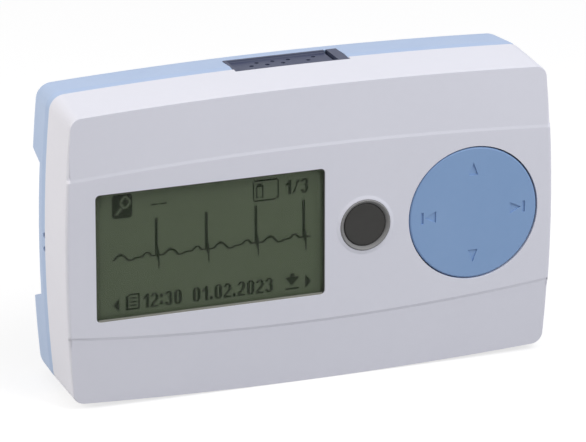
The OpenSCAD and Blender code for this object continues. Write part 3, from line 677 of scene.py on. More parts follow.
@dataclass(frozen=True)
class Metal(Finish):
    """Plated, rolled or drawn metal with fine lines, faint stains and rubbed edges."""

    mottle_scale: float = 300.0
    roughness: float = 0.3
    lines: Axis = Axis.X
    line_depth: float = 0.002 * MM
    line_strength: float = 0.5
    wear: float = 0.6
    worn_tone: float = 1.25
    stain_scale: float = 700.0
    stain_span: Span = (0.5, 0.75, 0.0, 0.5)
    stain_tone: float = 0.6
    stain_matt: float = 0.2

    def shade(self, s: Swatch) -> None:
        """Wires the metal.

        Args:
            s: The swatch to fill.
        """
        s.plain(Metallic=1.0)
        drawn = s.effect(Effect.DRAWN, Stretch=self.lines.value, Roughness=self.roughness)
        stained = s.ramp(s.noise(s.place, self.stain_scale, detail=4.0, rough=0.6), *self.stain_span)
        dull = s.mix(stained, self.base(s), self.tint(self.stain_tone))
        s.show(s.mix(s.mask(Effect.WEAR, self.wear), dull, self.tint(self.worn_tone)),
               s.plus(drawn.outputs["Roughness"], s.times(stained, self.stain_matt)))
        s.relief(drawn.outputs["Height"], self.line_depth, self.line_strength)


@dataclass(frozen=True)
class SolderMask(Finish):
    """Circuit board: solder mask over copper tracks, with small plated holes."""

    mottle: float = 0.08
    mottle_scale: float = 120.0
    rough_scale: float = 1500.0
    rough_span: Pair = (0.28, 0.42)
    coat: float = 0.3
    track: Colour = (0.05, 0.30, 0.14)
    track_scale: float = 420.0
    track_waves: float = 26.0
    track_span: Pair = (0.25, 0.55)
    track_share: float = 0.7
    plating: Colour = (0.62, 0.48, 0.22)
    hole_scale: float = 300.0
    hole_span: Pair = (0.12, 0.08)
    fibre_scale: float = 2500.0
    fibre_share: float = 0.4
    depth: float = 0.02 * MM

    def shade(self, s: Swatch) -> None:
        """Wires the board.

        Args:
            s: The swatch to fill.
        """
        steps = s.cells(s.place, self.track_scale, feature="F1", distance="CHEBYCHEV")
        tracks = s.ramp(s.math("SINE", s.times(steps, self.track_waves)), *self.track_span)
        holes = s.ramp(s.cells(s.place, self.hole_scale, feature="F1"), *self.hole_span)
        colour = s.mix(s.times(tracks, self.track_share), self.base(s), self.track)
        s.show(s.mix(holes, colour, self.plating), s.uneven(self.rough_scale, self.rough_span))
        s.plain(Coat_Weight=self.coat)
        fibres = s.times(s.noise(s.place, self.fibre_scale), self.fibre_share)
        s.relief(s.plus(tracks, fibres), self.depth)


@dataclass(frozen=True)
class Film(Finish):
    """Thin polyimide film with copper strips running across its width."""

    mottle: float = 0.08
    mottle_scale: float = 200.0
    rough_scale: float = 900.0
    rough_span: Pair = (0.2, 0.34)
    strip: Colour = (0.75, 0.42, 0.16)
    strip_pitch: float = 1.0 * MM
    strip_span: Pair = (-0.2, 0.2)
    strip_share: float = 0.7
    depth: float = 0.02 * MM

    def shade(self, s: Swatch) -> None:
        """Wires the film.

        Args:
            s: The swatch to fill.
        """
        waves = s.math("SINE", s.times(s.apart(s.place)[0], 2 * math.pi / self.strip_pitch))
        strips = s.ramp(waves, *self.strip_span)
        s.show(s.mix(s.times(strips, self.strip_share), self.base(s), self.strip),
               s.uneven(self.rough_scale, self.rough_span))
        s.relief(strips, self.depth)


@dataclass(frozen=True)
class MilkyGuide(Finish):
    """Light guide of milky acrylic with a printed dot pattern."""

    mottle: float = 0.03
    rough_scale: float = 600.0
    rough_span: Pair = (0.12, 0.25)
    dot: Colour = (0.9, 0.9, 0.9)
    dot_scale: float = 1200.0
    dot_span: Pair = (0.3, 0.2)
    scatter: float = 0.2

    def shade(self, s: Swatch) -> None:
        """Wires the guide.

        Args:
            s: The swatch to fill.
        """
        dots = s.ramp(s.cells(s.place, self.dot_scale, feature="F1"), *self.dot_span)
        s.show(s.mix(dots, self.base(s), self.dot), s.uneven(self.rough_scale, self.rough_span))
        s.plain(Subsurface_Weight=self.scatter, Subsurface_Radius=(MM, MM, MM))


@dataclass(frozen=True)
class ShrinkSleeve(Finish):
    """Sleeve of a round cell: a pale band at the cap end and a dark one over the rest."""

    mottle: float = 0.04
    mottle_scale: float = 150.0
    roughness: float = 0.24
    coat: float = 0.4
    band: Colour = (0.62, 0.64, 0.66)
    split_x: float = 0.03
    blend: float = 0.1 * MM
    rub: float = 0.3
    rub_matt: float = 0.3
    rub_colour: Colour = (0.5, 0.5, 0.5)

    def shade(self, s: Swatch) -> None:
        """Wires the sleeve.

        Args:
            s: The swatch to fill.
        """
        past = s.ramp(s.apart(s.place)[0], self.split_x - self.blend, self.split_x + self.blend)
        colour = s.mottled(s.mix(past, self.colour, self.band), self.mottle, self.mottle_scale)
        rubbed = s.mask(Effect.SCRATCHES, self.rub)
        rough = s.plus(self.roughness, s.times(rubbed, self.rub_matt))
        s.show(s.mix(rubbed, colour, self.rub_colour), rough)
        s.plain(Coat_Weight=self.coat)


class Bench:
    """Makes pieces out of bmeshes and hangs them in the scene."""

    weld = 0.002 * MM
    sliver = 0.001 * MM
    flat_turn = math.radians(0.3)
    corner_facets = 8

    @classmethod
    def merged(cls, node: str) -> bmesh.types.BMesh:
        """Copies a CAD node's mesh and merges its loose triangles.

        Args:
            node: The node's name.

        Returns:
            A bmesh of flat faces that share their edges.
        """
        bm = bmesh.new()
        bm.from_mesh(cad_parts[node].data)
        bmesh.ops.remove_doubles(bm, verts=bm.verts, dist=cls.weld)
        bmesh.ops.dissolve_degenerate(bm, edges=bm.edges, dist=cls.sliver)
        bmesh.ops.dissolve_limit(bm, angle_limit=cls.flat_turn, use_dissolve_boundaries=False,
                                 verts=bm.verts, edges=bm.edges, delimit=set())
        return bm

    @staticmethod
    def sharp_edges(bm: bmesh.types.BMesh, keep: Callable[[Vector], bool],
                    least: float = 25.0) -> list[bmesh.types.BMEdge]:
        """Finds the edges to soften.

        Args:
            bm: The mesh.
            keep: Test of an edge's middle.
            least: Smallest angle between the two faces, in degrees.

        Returns:
            The edges.
        """
        bm.normal_update()
        found = []
        for edge in bm.edges:
            if len(edge.link_faces) == 2 and edge.calc_face_angle(0.0) > math.radians(least):
                if keep((edge.verts[0].co + edge.verts[1].co) / 2):
                    found.append(edge)
        return found

    @staticmethod
    def round_off(bm: bmesh.types.BMesh, edges: Iterable[bmesh.types.BMEdge], radius: float,
                  segments: int = 2) -> None:
        """Rounds edges.

        Args:
            bm: The mesh.
            edges: The edges.
            radius: Width of the rounding, in metres.
            segments: Faces across it.
        """
        bmesh.ops.bevel(bm, geom=list(edges), offset=radius, offset_type="OFFSET", segments=segments,
                        profile=0.5, affect="EDGES", material=-1, clamp_overlap=True)

    @classmethod
    def soften(cls, bm: bmesh.types.BMesh, keep: Callable[[Vector], bool], radius: float) -> None:
        """Rounds the sharp edges whose middles pass a test."""
        cls.round_off(bm, cls.sharp_edges(bm, keep), radius)

    @classmethod
    def turned(cls, profile: Sequence[tuple[float, float]], centre: Vector,
               steps: int = 96) -> bmesh.types.BMesh:
        """Turns a closed profile about an axis along Y.

        Args:
            profile: Radius and depth of each point, in millimetres; depth grows away from the face.
            centre: Point on the axis at depth 0, in metres.
            steps: Facets round the axis.

        Returns:
            The closed bmesh.
        """
        bm = bmesh.new()
        rim = [bm.verts.new(centre + Vector((r * MM, depth * MM, 0.0))) for r, depth in profile]
        for a, b in zip(rim, rim[1:] + rim[:1]):
            bm.edges.new((a, b))
        bmesh.ops.spin(bm, geom=bm.verts[:] + bm.edges[:], cent=centre, axis=(0.0, 1.0, 0.0),
                       angle=2 * math.pi, steps=steps, use_merge=True, use_duplicate=False)
        bmesh.ops.remove_doubles(bm, verts=bm.verts, dist=cls.sliver)
        bmesh.ops.dissolve_degenerate(bm, edges=bm.edges, dist=cls.sliver)
        bmesh.ops.recalc_face_normals(bm, faces=bm.faces)
        return bm

    @staticmethod
    def block(bm: bmesh.types.BMesh, low: Vector, high: Vector) -> None:
        """Adds a block between two corners.

        Args:
            bm: The mesh to add to.
            low: Lowest corner.
            high: Highest corner.
        """
        place = Matrix.Translation((low + high) / 2) @ Matrix.Diagonal((*(high - low), 1.0))
        bmesh.ops.create_cube(bm, size=1.0, matrix=place)

    @classmethod
    def ring(cls, low: Vector, high: Vector, corner: float, width: float) -> bmesh.types.BMesh:
        """Makes a flat rectangular ring with round corners, in the X-Z plane.

        Args:
            low: Lowest corner; its Y is the front of the ring.
            high: Highest corner; its Y is the back.
            corner: Radius of the outer corners.
            width: Width of the ring.

        Returns:
            The closed bmesh.
        """
        bm = bmesh.new()
        middle = Vector(((low.x + high.x) / 2, high.y, (low.z + high.z) / 2))
        half = (high - low) / 2
        upright = Matrix.Rotation(math.pi / 2, 4, "X") @ Matrix.Diagonal((half.x, half.z, 1.0, 1.0))
        bmesh.ops.create_grid(bm, x_segments=1, y_segments=1, size=1.0,
                              matrix=Matrix.Translation(middle) @ upright)
        bmesh.ops.bevel(bm, geom=bm.verts[:], offset=corner, offset_type="OFFSET",
                        segments=cls.corner_facets, profile=0.5, affect="VERTICES", material=-1)
        inner = bm.faces[:]
        bmesh.ops.inset_region(bm, faces=inner, thickness=width, depth=0.0, use_boundary=True,
                               use_even_offset=True)
        bmesh.ops.delete(bm, geom=inner, context="FACES")
        bmesh.ops.solidify(bm, geom=bm.faces[:], thickness=low.y - high.y)
        bmesh.ops.recalc_face_normals(bm, faces=bm.faces)
        return bm

    @staticmethod
    def piece(bm: bmesh.types.BMesh, name: str, body: Body, slot: str, finish: Finish,
              nodes: Sequence[str] = (), smooth: float = 35.0) -> None:
        """Turns a bmesh into a piece of the object.

        Args:
            bm: The mesh; it is freed.
            name: The piece's name.
            body: The CAD body that it rides on.
            slot: The record's material slot; not used.
            finish: Its finish.
            nodes: CAD nodes that it stands for.
            smooth: Largest angle shaded smooth, in degrees.
        """
        mesh = bpy.data.meshes.new(name)
        bm.to_mesh(mesh)
        bm.free()
        mesh.polygons.foreach_set("use_smooth", [True] * len(mesh.polygons))
        mesh.set_sharp_from_angle(angle=math.radians(smooth))
        mesh.materials.append(finish.material())
        made = bpy.data.objects.new(name, mesh)
        bpy.context.scene.collection.objects.link(made)
        weighted = made.modifiers.new("face weighted normals", "WEIGHTED_NORMAL")
        weighted.keep_sharp = True
        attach(made, body.value)
        if nodes:
            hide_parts(*nodes)
        log.info("%s: %d faces on %s", name, len(mesh.polygons), body.value)

    @staticmethod
    def dress(node: str, finish: Finish) -> None:
        """Gives a CAD node its finish.

        Args:
            node: The node's name.
            finish: The finish.
        """
        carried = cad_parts[node]
        if not carried.material_slots:
            carried.data.materials.append(None)
        for place in carried.material_slots:
            place.material = finish.material()
        log.info("%s: dressed in %s", node, finish.name)


@dataclass(frozen=True)
class Datum:
    """Depth of the face's raised band, from which the keys' profiles are measured."""

    face_y: float

    @classmethod
    def read(cls, lip: float = 0.2 * MM) -> "Datum":
        """Reads it off the front casing.

        Args:
            lip: How far the casing's lip round the collar stands in front of the band.

        Returns:
            The datum.
        """
        return cls(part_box("front_casing")[0].y + lip)

    def axis_of(self, node: str) -> Vector:
        """Finds the axis of a turned piece.

        Args:
            node: The CAD node.

        Returns:
            The point of its axis in the plane of the raised band.
        """
        low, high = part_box(node)
        return Vector(((low.x + high.x) / 2, self.face_y, (low.z + high.z) / 2))


SHELL_WHITE = MouldedPlastic("shell white", (0.80, 0.805, 0.895), roughness=0.42, grain_scale=3200.0,
                             mottle=0.02, dust=0.04, film=0.06)
SHELL_BLUE = MouldedPlastic("shell blue", (0.445, 0.565, 0.80), roughness=0.46, dust=0.05, film=0.1)
PAD_BLUE = MouldedPlastic("pad blue", (0.258, 0.405, 0.67), roughness=0.5, grain_scale=3600.0, wear=0.15,
                          dust=0.03, film=0.05)
KEY_RUBBER = SoftRubber("key rubber", (0.045, 0.044, 0.042))
COLLAR_GREY = MouldedPlastic("collar grey", (0.253, 0.253, 0.255), roughness=0.55, wear=0.15, dust=0.03,
                             film=0.1)
SOCKET_SLATE = MouldedPlastic("socket slate", (0.045, 0.055, 0.11), roughness=0.5, wear=0.3, dust=0.03)
SEAL_BLACK = SoftRubber("seal black", (0.03, 0.03, 0.032))
# Rubber bead of the gasket; its dark tone also paints the shadow line round the display opening.
SHADOW_BEAD_OLIVE = SoftRubber("gasket bead painted shadow", (0.062, 0.066, 0.056), bloom=(0.09, 0.09, 0.085), dust=0.05)
# Grey strip of the gasket whose tone paints the shade on the bottom wall of the display opening.
SHADE_SILL_OLIVE = SoftRubber("gasket sill painted shade", (0.27, 0.27, 0.235), bloom=(0.33, 0.33, 0.30))
TRAY_BLACK = MouldedPlastic("tray black", (0.045, 0.045, 0.05), roughness=0.5)
IVORY = MouldedPlastic("connector ivory", (0.72, 0.68, 0.56), roughness=0.4, mottle=0.05)
SWITCH_BLACK = MouldedPlastic("switch black", (0.03, 0.03, 0.03), roughness=0.42)
BRACKET_GREY = MouldedPlastic("bracket grey", (0.42, 0.43, 0.45), roughness=0.5)
EPOXY = MouldedPlastic("chip epoxy", (0.025, 0.025, 0.028), roughness=0.6, grain_scale=6000.0)
BUZZER_BLACK = MouldedPlastic("buzzer black", (0.03, 0.03, 0.035), roughness=0.38)
CARD_BLACK = MouldedPlastic("card black", (0.03, 0.03, 0.04), roughness=0.35, grain_scale=5000.0)
PANE = ClearPane("window clear", (0.92, 0.94, 0.90))
GUIDE = MilkyGuide("guide acrylic", (0.75, 0.80, 0.72))
RIBBON = Film("ribbon film", (0.45, 0.24, 0.06))
BOARD = SolderMask("board green", (0.015, 0.14, 0.06))
MODULE = SolderMask("module board", (0.02, 0.07, 0.18), track=(0.05, 0.15, 0.35))
GIMBAL = Metal("gimbal metal", (0.60, 0.61, 0.62), roughness=0.28)
SCREW = Metal("screw steel", (0.52, 0.52, 0.54), roughness=0.32)
TIN = Metal("shield tin", (0.66, 0.67, 0.68), roughness=0.34)
COIN = Metal("cell steel", (0.70, 0.70, 0.72), roughness=0.24)
GOLD = Metal("contact gold", (0.80, 0.58, 0.22), roughness=0.22, lines=Axis.Z)
NICKEL = Metal("contact nickel", (0.68, 0.66, 0.62), roughness=0.28, lines=Axis.Z)
DARK_DOTS = Inked("dark dots", (0.010, 0.015, 0.007))
PANEL_GREEN = (0.066, 0.081, 0.053)


@dataclass
class Shells:
    """Front casing, rear casing and battery door.

    The band's step becomes a soft ramp: its foot is lifted towards the face and leans away from the band.
    """

    datum: Datum
    edge: float = 0.14 * MM
    crease: float = 0.2 * MM
    crease_lean: float = 0.6 * MM
    lower_lift: float = 0.27 * MM
    upper_lift: float = 0.305 * MM
    crease_from: float = 15.2 * MM
    crease_turn: float = 25.0
    crease_facets: int = 3
    hole_edge: float = 0.05 * MM
    door_edge: float = 0.1 * MM
    rim_depth: float = 0.05 * MM
    pad_margin: float = MM
    face_reach: float = 1.2 * MM
    front_skin: float = 4.0 * MM
    rear_skin: float = 1.5 * MM
    back_reach: float = 9.6 * MM

    def build(self) -> None:
        """Builds the three shells."""
        self.front()
        self.rear()
        door = Bench.merged("battery_door")
        Bench.soften(door, lambda middle: True, self.door_edge)
        Bench.piece(door, "door_panel", Body.DOOR, "shell_blue", SHELL_BLUE, ["battery_door"])

    @staticmethod
    def near_side(low: Vector, high: Vector, middle: Vector, skin: float) -> bool:
        """Tells whether a point lies close to the four sides of a box along Y.

        Args:
            low: Lowest corner of the box.
            high: Highest corner.
            middle: The point.
            skin: How close.

        Returns:
            True where it does.
        """
        return min(middle.x - low.x, high.x - middle.x, middle.z - low.z, high.z - middle.z) < skin

    def front(self) -> None:
        """Builds the white half: the face's creases and rims are softened, its inside stays as moulded."""
        face_end = self.datum.face_y + self.face_reach
        low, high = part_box("front_casing")
        rim = high.y - self.rim_depth
        level = (low.z + high.z) / 2
        pad = self.datum.axis_of("navigation_pad")
        pad_low, pad_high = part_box("navigation_pad")
        pad_reach = (pad_high.x - pad_low.x) / 2 + self.pad_margin

        def by_pad(middle: Vector) -> bool:
            """Tells whether an edge runs round the direction pad's hole."""
            return middle.y < face_end and math.hypot(middle.x - pad.x, middle.z - pad.z) < pad_reach

        def on_crease(middle: Vector) -> bool:
            """Tells whether an edge bounds the raised band."""
            return middle.y < face_end and abs(middle.z - level) > self.crease_from and not by_pad(middle)

        def shows(middle: Vector) -> bool:
            """Tells whether another edge lies on the face or along the parting line."""
            on_rim = middle.y > rim and self.near_side(low, high, middle, self.front_skin)
            return on_rim or (middle.y < face_end and not by_pad(middle) and not on_crease(middle))

        bm = Bench.merged("front_casing")
        steps = Bench.sharp_edges(bm, on_crease, self.crease_turn)
        for foot in {vert for edge in steps if not edge.is_convex for vert in edge.verts}:
            lift = self.upper_lift if foot.co.z > level else self.lower_lift
            foot.co += Vector((0.0, -lift, math.copysign(self.crease_lean, foot.co.z - level)))
        Bench.round_off(bm, steps, self.crease, self.crease_facets)
        Bench.soften(bm, by_pad, self.hole_edge)
        Bench.soften(bm, shows, self.edge)
        Bench.piece(bm, "front_shell", Body.HOUSING, "shell_white", SHELL_WHITE, ["front_casing"])

    def rear(self) -> None:
        """Builds the blue half: the channel, the screw wells and the socket's mouth are softened."""
        low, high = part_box("rear_casing")
        back = high.y - self.back_reach

        def shows(middle: Vector) -> bool:
            """Tells whether an edge lies on the outer skin or in the back."""
            return middle.y > back or self.near_side(low, high, middle, self.rear_skin)

        bm = Bench.merged("rear_casing")
        Bench.soften(bm, shows, self.edge)
        Bench.piece(bm, "rear_shell", Body.HOUSING, "shell_blue", SHELL_BLUE, ["rear_casing"])


@dataclass
class Keys:
    """Event button, its collar and the direction pad.

    Radii and depths are in millimetres. A point of a rim is a distance inwards from its radius and a depth.
    The collar's foot counts from its inner radius, and its crest from its outer radius and its top.
    """

    datum: Datum
    cap_r: float = 4.58
    cap_face: Profile = ((0.0, 0.13), (1.5, 0.12), (2.8, 0.09))
    cap_rim: Profile = ((0.5, 0.05), (0.22, 0.06), (0.1, 0.1), (0.03, 0.18), (0.0, 0.3))
    cap_smooth: float = 40.0
    cap_flange_r: float = 5.1
    cap_flange: Pair = (2.9, 3.7)
    stem_r: float = 2.0
    collar_inner_r: float = 4.68
    collar_outer_r: float = 5.55
    collar_foot: Profile = ((0.0, 0.4), (-0.02, 0.16))
    collar_crest: Profile = ((0.34, 0.06), (0.26, 0.0), (0.18, 0.02), (0.06, 0.14), (0.01, 0.26),
                             (0.0, 0.45))
    collar_flange: Pair = (2.0, 2.7)
    collar_smooth: float = 45.0
    pad_edge: float = 0.05 * MM
    pad_front: float = 0.3 * MM

    def build(self) -> None:
        """Builds the three pieces."""
        self.event_cap()
        self.collar()
        self.pad()

    def event_cap(self) -> None:
        """Turns the rubber cap: a faintly dished face with a soft rim, a flange and a stem."""
        r, f0, f1 = self.cap_r, *self.cap_flange
        back = (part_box("event_button")[1].y - self.datum.face_y) / MM
        rim = [(r - inwards, depth) for inwards, depth in self.cap_rim]
        profile = [*self.cap_face, *rim, (r, f0), (self.cap_flange_r, f0), (self.cap_flange_r, f1),
                   (self.stem_r, f1), (self.stem_r, back), (0.0, back)]
        bm = Bench.turned(profile, self.datum.axis_of("event_button"))
        Bench.piece(bm, "event_cap", Body.EVENT_KEY, "button_rubber", KEY_RUBBER, ["event_button"],
                    self.cap_smooth)

    def collar(self) -> None:
        """Turns the grey ring: a crest that stands proud of the face, a sloping inner side and a flange."""
        low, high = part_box("button_collar")
        crest = (low.y - self.datum.face_y) / MM
        flange_r = (high.x - low.x) / 2 / MM
        a, b, f0, f1 = self.collar_inner_r, self.collar_outer_r, *self.collar_flange
        foot = [(a - inwards, depth) for inwards, depth in self.collar_foot]
        top = [(b - inwards, crest + depth) for inwards, depth in self.collar_crest]
        profile = [*foot, *top, (b, f0), (flange_r, f0), (flange_r, f1), (a, f1)]
        bm = Bench.turned(profile, self.datum.axis_of("button_collar"))
        Bench.piece(bm, "collar_ring", Body.HOUSING, "collar_plastic", COLLAR_GREY, ["button_collar"],
                    self.collar_smooth)

    def pad(self) -> None:
        """Softens the direction pad's rim and the edges of its sunk marks."""
        bm = Bench.merged("navigation_pad")
        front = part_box("navigation_pad")[0].y + self.pad_front
        Bench.soften(bm, lambda middle: middle.y < front, self.pad_edge)
        Bench.piece(bm, "direction_pad", Body.PAD, "pad_blue", PAD_BLUE, ["navigation_pad"])


GLYPHS = {
    "0": ".###. ##.## ##.## ##.## ##.## ##.## ##.## .###.",
    "1": "..## .### #### ..## ..## ..## ..## ..##",
    "2": ".###. ##.## ...## ...## ..##. .##.. ##... #####",
    "3": ".###. ##.## ...## ..##. ...## ...## ##.## .###.",
    ":": ".. ## ## .. .. ## ## ..",
    ".": ".. .. .. .. .. .. ## ##",
    "/": "...# ..## ..#. ..#. .#.. .#.. ##.. #...",
}


@dataclass
class DotPicture:
    """The display's picture on a grid of dots, counted from its upper left corner.

    A wave of the trace is given as its height, its delay after a beat and its width.
    """

    columns: int = 128
    rows: int = 64
    baseline: int = 35
    peak: int = 15
    beats: tuple[int, ...] = (27, 59, 91, 122)
    figures: tuple[tuple[str, int, int], ...] = (("1/3", 111, 3), ("12:30", 19, 56), ("01.02.2023", 51, 56))
    dashes: tuple[tuple[int, int], ...] = ((25, 28), (31, 34))
    dash_row: int = 7
    tile_side: int = 12
    cell_at: tuple[int, int] = (90, 1)
    page_at: tuple[int, int] = (8, 56)
    down_at: tuple[int, int] = (111, 55)
    arrows: tuple[tuple[int, int, int], ...] = ((3, 60, -1), (124, 60, 1))
    waves: tuple[Triple, ...] = ((2.0, -6.0, 2.0), (2.6, 9.0, 3.0), (-1.2, 15.0, 2.5))
    lit: set[tuple[int, int]] = field(default_factory=set)

    def draw(self) -> set[tuple[int, int]]:
        """Draws the whole picture.

        Returns:
            Column and row of each dark dot.
        """
        self.tile()
        for first, last in self.dashes:
            self.box(first, last, self.dash_row, self.dash_row)
        self.cell_sign(*self.cell_at)
        self.trace()
        self.list_sign(*self.page_at)
        self.down_sign(*self.down_at)
        for place in self.arrows:
            self.arrow(*place)
        for words, column, row in self.figures:
            self.words(words, column, row)
        return {(c, r) for c, r in self.lit if 0 <= c < self.columns and 0 <= r < self.rows}

    def box(self, c0: int, c1: int, r0: int, r1: int) -> None:
        """Fills the dots between two columns and two rows, all counted in."""
        self.lit |= {(c, r) for c in range(c0, c1 + 1) for r in range(r0, r1 + 1)}

    def clear(self, c0: int, c1: int, r0: int, r1: int) -> None:
        """Clears the dots between two columns and two rows, all counted in."""
        self.lit -= {(c, r) for c in range(c0, c1 + 1) for r in range(r0, r1 + 1)}

    def words(self, words: str, column: int, row: int) -> None:
        """Sets figures in a row.

        Args:
            words: What to set.
            column: Left column.
            row: Top row.
        """
        for sign in words:
            lines = GLYPHS[sign].split()
            for down, line in enumerate(lines):
                self.lit |= {(column + across, row + down) for across, mark in enumerate(line) if mark == "#"}
            column += len(lines[0]) + 1

    def tile(self) -> None:
        """Draws the dark tile with a pale ring and handle."""
        side = self.tile_side
        self.box(0, side, 0, side)
        self.lit -= {(0, 0), (side, 0), (0, side), (side, side)}
        self.lit -= {(c, r) for c, r in self.lit if 4 < (c - 8) ** 2 + (r - 4) ** 2 < 11}
        self.lit -= {(5, 7), (4, 8), (5, 8), (3, 9), (4, 9), (2, 10), (3, 10)}

    def cell_sign(self, column: int, row: int) -> None:
        """Draws a rounded frame with a small upright bar.

        Args:
            column: Left column.
            row: Top row.
        """
        right, foot = column + 16, row + 11
        self.box(column, right, row, foot)
        self.clear(column + 1, right - 1, row + 1, foot - 1)
        self.lit -= {(column, row), (right, row), (right, foot), (column, foot), (right - 1, foot)}
        self.lit.add((right - 1, foot - 1))
        self.box(column + 2, column + 6, row + 2, row + 9)
        self.clear(column + 3, column + 5, row + 4, row + 8)
        self.lit -= {(column + 2, row + 2), (column + 6, row + 2), (column + 4, row + 9)}

    def list_sign(self, column: int, row: int) -> None:
        """Draws a page with lines.

        Args:
            column: Left column.
            row: Row under its upper edge.
        """
        self.box(column, column + 8, row - 1, row + 7)
        self.clear(column + 2, column + 7, row, row + 6)
        self.lit -= {(column, row - 1), (column + 1, row - 1)}
        for line in (1, 3, 5):
            self.box(column + 3, column + 6, row + line, row + line)

    def arrow(self, column: int, row: int, way: int) -> None:
        """Draws a solid triangle.

        Args:
            column: Column of its foot.
            row: Middle row.
            way: 1 to point right, -1 to point left.
        """
        for step in range(4):
            self.box(column + way * step, column + way * step, row - 3 + step, row + 3 - step)

    def down_sign(self, column: int, row: int) -> None:
        """Draws a down arrow over a bar.

        Args:
            column: Left column of the arrow.
            row: Top row.
        """
        self.box(column + 3, column + 5, row, row + 1)
        for step in range(5):
            self.box(column + step, column + 8 - step, row + 2 + step, row + 2 + step)
        self.box(column, column + 8, row + 8, row + 8)

    def trace(self) -> None:
        """Draws the heart rhythm: small waves on a line, with tall spikes."""
        last = self.height(0)
        for column in range(self.columns):
            now = self.height(column)
            self.box(column, column, min(last, now), max(last, now))
            last = now
        for beat in self.beats:
            self.box(beat, beat + 1, self.peak, self.baseline - 1)
            self.box(beat + 1, beat + 1, self.peak + 7, self.baseline + 2)
            self.box(beat + 2, beat + 2, self.baseline - 3, self.baseline + 7)

    def height(self, column: int) -> int:
        """Finds the trace's row between the spikes.

        Args:
            column: The column.

        Returns:
            The row.
        """
        rise = 0.0
        for beat in (2 * self.beats[0] - self.beats[1], *self.beats):
            for height, delay, width in self.waves:
                rise += height * math.exp(-((column - beat - delay) / width) ** 2)
        return self.baseline - round(rise)


@dataclass
class DisplayUnit:
    """Window, gasket, panel and picture of the display."""

    left: float = -21.08 * MM
    top: float = 12.98 * MM
    pitch_x: float = 0.340 * MM
    pitch_z: float = 0.394 * MM
    gap: float = 0.015 * MM
    dot_depth: float = 0.04 * MM
    lift: float = 0.005 * MM
    window_rim: float = 2.0 * MM
    window_edge: float = 0.12 * MM
    corner: float = 1.0 * MM
    bead_width: float = 0.2 * MM
    bead_height: float = 0.12 * MM
    sill_height: float = 0.45 * MM
    dot_smooth: float = 20.0

    def build(self) -> None:
        """Builds the window, the gasket and the dots, and dresses the panel."""
        low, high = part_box("display_window")
        bm = bmesh.new()
        Bench.block(bm, low, high)
        Bench.round_off(bm, bm.edges[:], self.window_edge)
        Bench.piece(bm, "window_pane", Body.HOUSING, "window_clear", PANE, ["display_window"])
        rim = Vector((self.window_rim, 0.0, self.window_rim))
        self.gasket(low + rim, high - rim)
        self.picture((low + high) / 2)
        self.panel(low + rim, high - rim)

    def gasket(self, low: Vector, high: Vector) -> None:
        """Lays the gasket's lip on the window, just inside the opening: a dark bead, whose tone is painted
        shadow along the opening's edge, and a grey sill, whose tone is painted shade of the opening's bottom
        wall.

        Args:
            low: Lower left corner of the opening, on the window's front.
            high: Upper right corner.
        """
        front = low.y - self.bead_height
        # The bead's dark tone paints the shadow line round the opening.
        bead = Bench.ring(Vector((low.x, front, low.z)), Vector((high.x, low.y, high.z)), self.corner,
                          self.bead_width)
        Bench.piece(bead, "gasket_bead_shadow", Body.HOUSING, "seal_rubber", SHADOW_BEAD_OLIVE)
        # The sill's grey paints the shade on the opening's bottom wall.
        bm = bmesh.new()
        Bench.block(bm, Vector((low.x + self.corner / 2, front - self.lift, low.z)),
                    Vector((high.x - self.corner / 2, low.y, low.z + self.sill_height)))
        Bench.round_off(bm, bm.edges[:], self.bead_height / 3)
        Bench.piece(bm, "gasket_sill_shade", Body.HOUSING, "seal_rubber", SHADE_SILL_OLIVE)

    def picture(self, middle: Vector) -> None:
        """Sets the dark dots just in front of the glass.

        Args:
            middle: Middle of the opening.
        """
        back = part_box("display_glass")[0].y - self.lift
        bm = bmesh.new()
        for column, row in sorted(DotPicture().draw()):
            x = middle.x + self.left + column * self.pitch_x
            z = middle.z + self.top - row * self.pitch_z
            Bench.block(bm, Vector((x, back - self.dot_depth, z - self.pitch_z + self.gap)),
                        Vector((x + self.pitch_x - self.gap, back, z)))
        Bench.piece(bm, "dot_picture", Body.HOUSING, "display_panel", DARK_DOTS,
                    smooth=self.dot_smooth)

    def panel(self, low: Vector, high: Vector) -> None:
        """Dresses the CAD glass as a reflective panel with painted shade along the opening's left edge and
        painted light along its top and right edges.

        Args:
            low: Lower left corner of the opening.
            high: Upper right corner.
        """
        Bench.dress("display_glass", PolariserPanel("display panel", PANEL_GREEN, low=tuple(low),
                                                    high=tuple(high)))


@dataclass
class CableSocket:
    """Patient cable socket in the top."""

    edge: float = 0.08 * MM
    rim_depth: float = 0.4 * MM

    def build(self) -> None:
        """Softens the rim of the socket's pocket, its groove and its ledge."""
        bm = Bench.merged("patient_socket")
        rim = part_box("patient_socket")[1].z - self.rim_depth
        Bench.soften(bm, lambda middle: middle.z > rim, self.edge)
        Bench.piece(bm, "socket_block", Body.HOUSING, "socket_plastic", SOCKET_SLATE, ["patient_socket"])


@dataclass
class Insides:
    """Finishes of every carried-over CAD node: seal, board, chips, contacts and cells."""

    cap_band: float = 11.0 * MM
    finishes: dict[str, Finish] = field(default_factory=lambda: {
        "casing_seal": SEAL_BLACK, "light_guide": GUIDE, "display_frame": TRAY_BLACK,
        "display_ribbon": RIBBON, "ribbon_connector": IVORY, "event_switch": SWITCH_BLACK,
        "pad_gimbal": GIMBAL, "gimbal_bracket": BRACKET_GREY, "pad_switches": SWITCH_BLACK,
        "main_board": BOARD, "board_screws": SCREW, "casing_screws": SCREW, "processor": EPOXY,
        "memory_chips": EPOXY, "amplifier_shield": TIN, "radio_module": MODULE, "buzzer": BUZZER_BLACK,
        "clock_cell": COIN, "clock_cell_holder": IVORY, "socket_contacts": GOLD, "cell_spring": NICKEL,
        "cell_plate": NICKEL, "card_holder": TIN, "memory_card": CARD_BLACK})

    def build(self) -> None:
        """Dresses the nodes, with the round cell's band at its cap end."""
        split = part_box("round_cell")[1].x - self.cap_band
        Bench.dress("round_cell", ShrinkSleeve("cell wrap", (0.05, 0.09, 0.16), split_x=split))
        for node, finish in self.finishes.items():
            Bench.dress(node, finish)


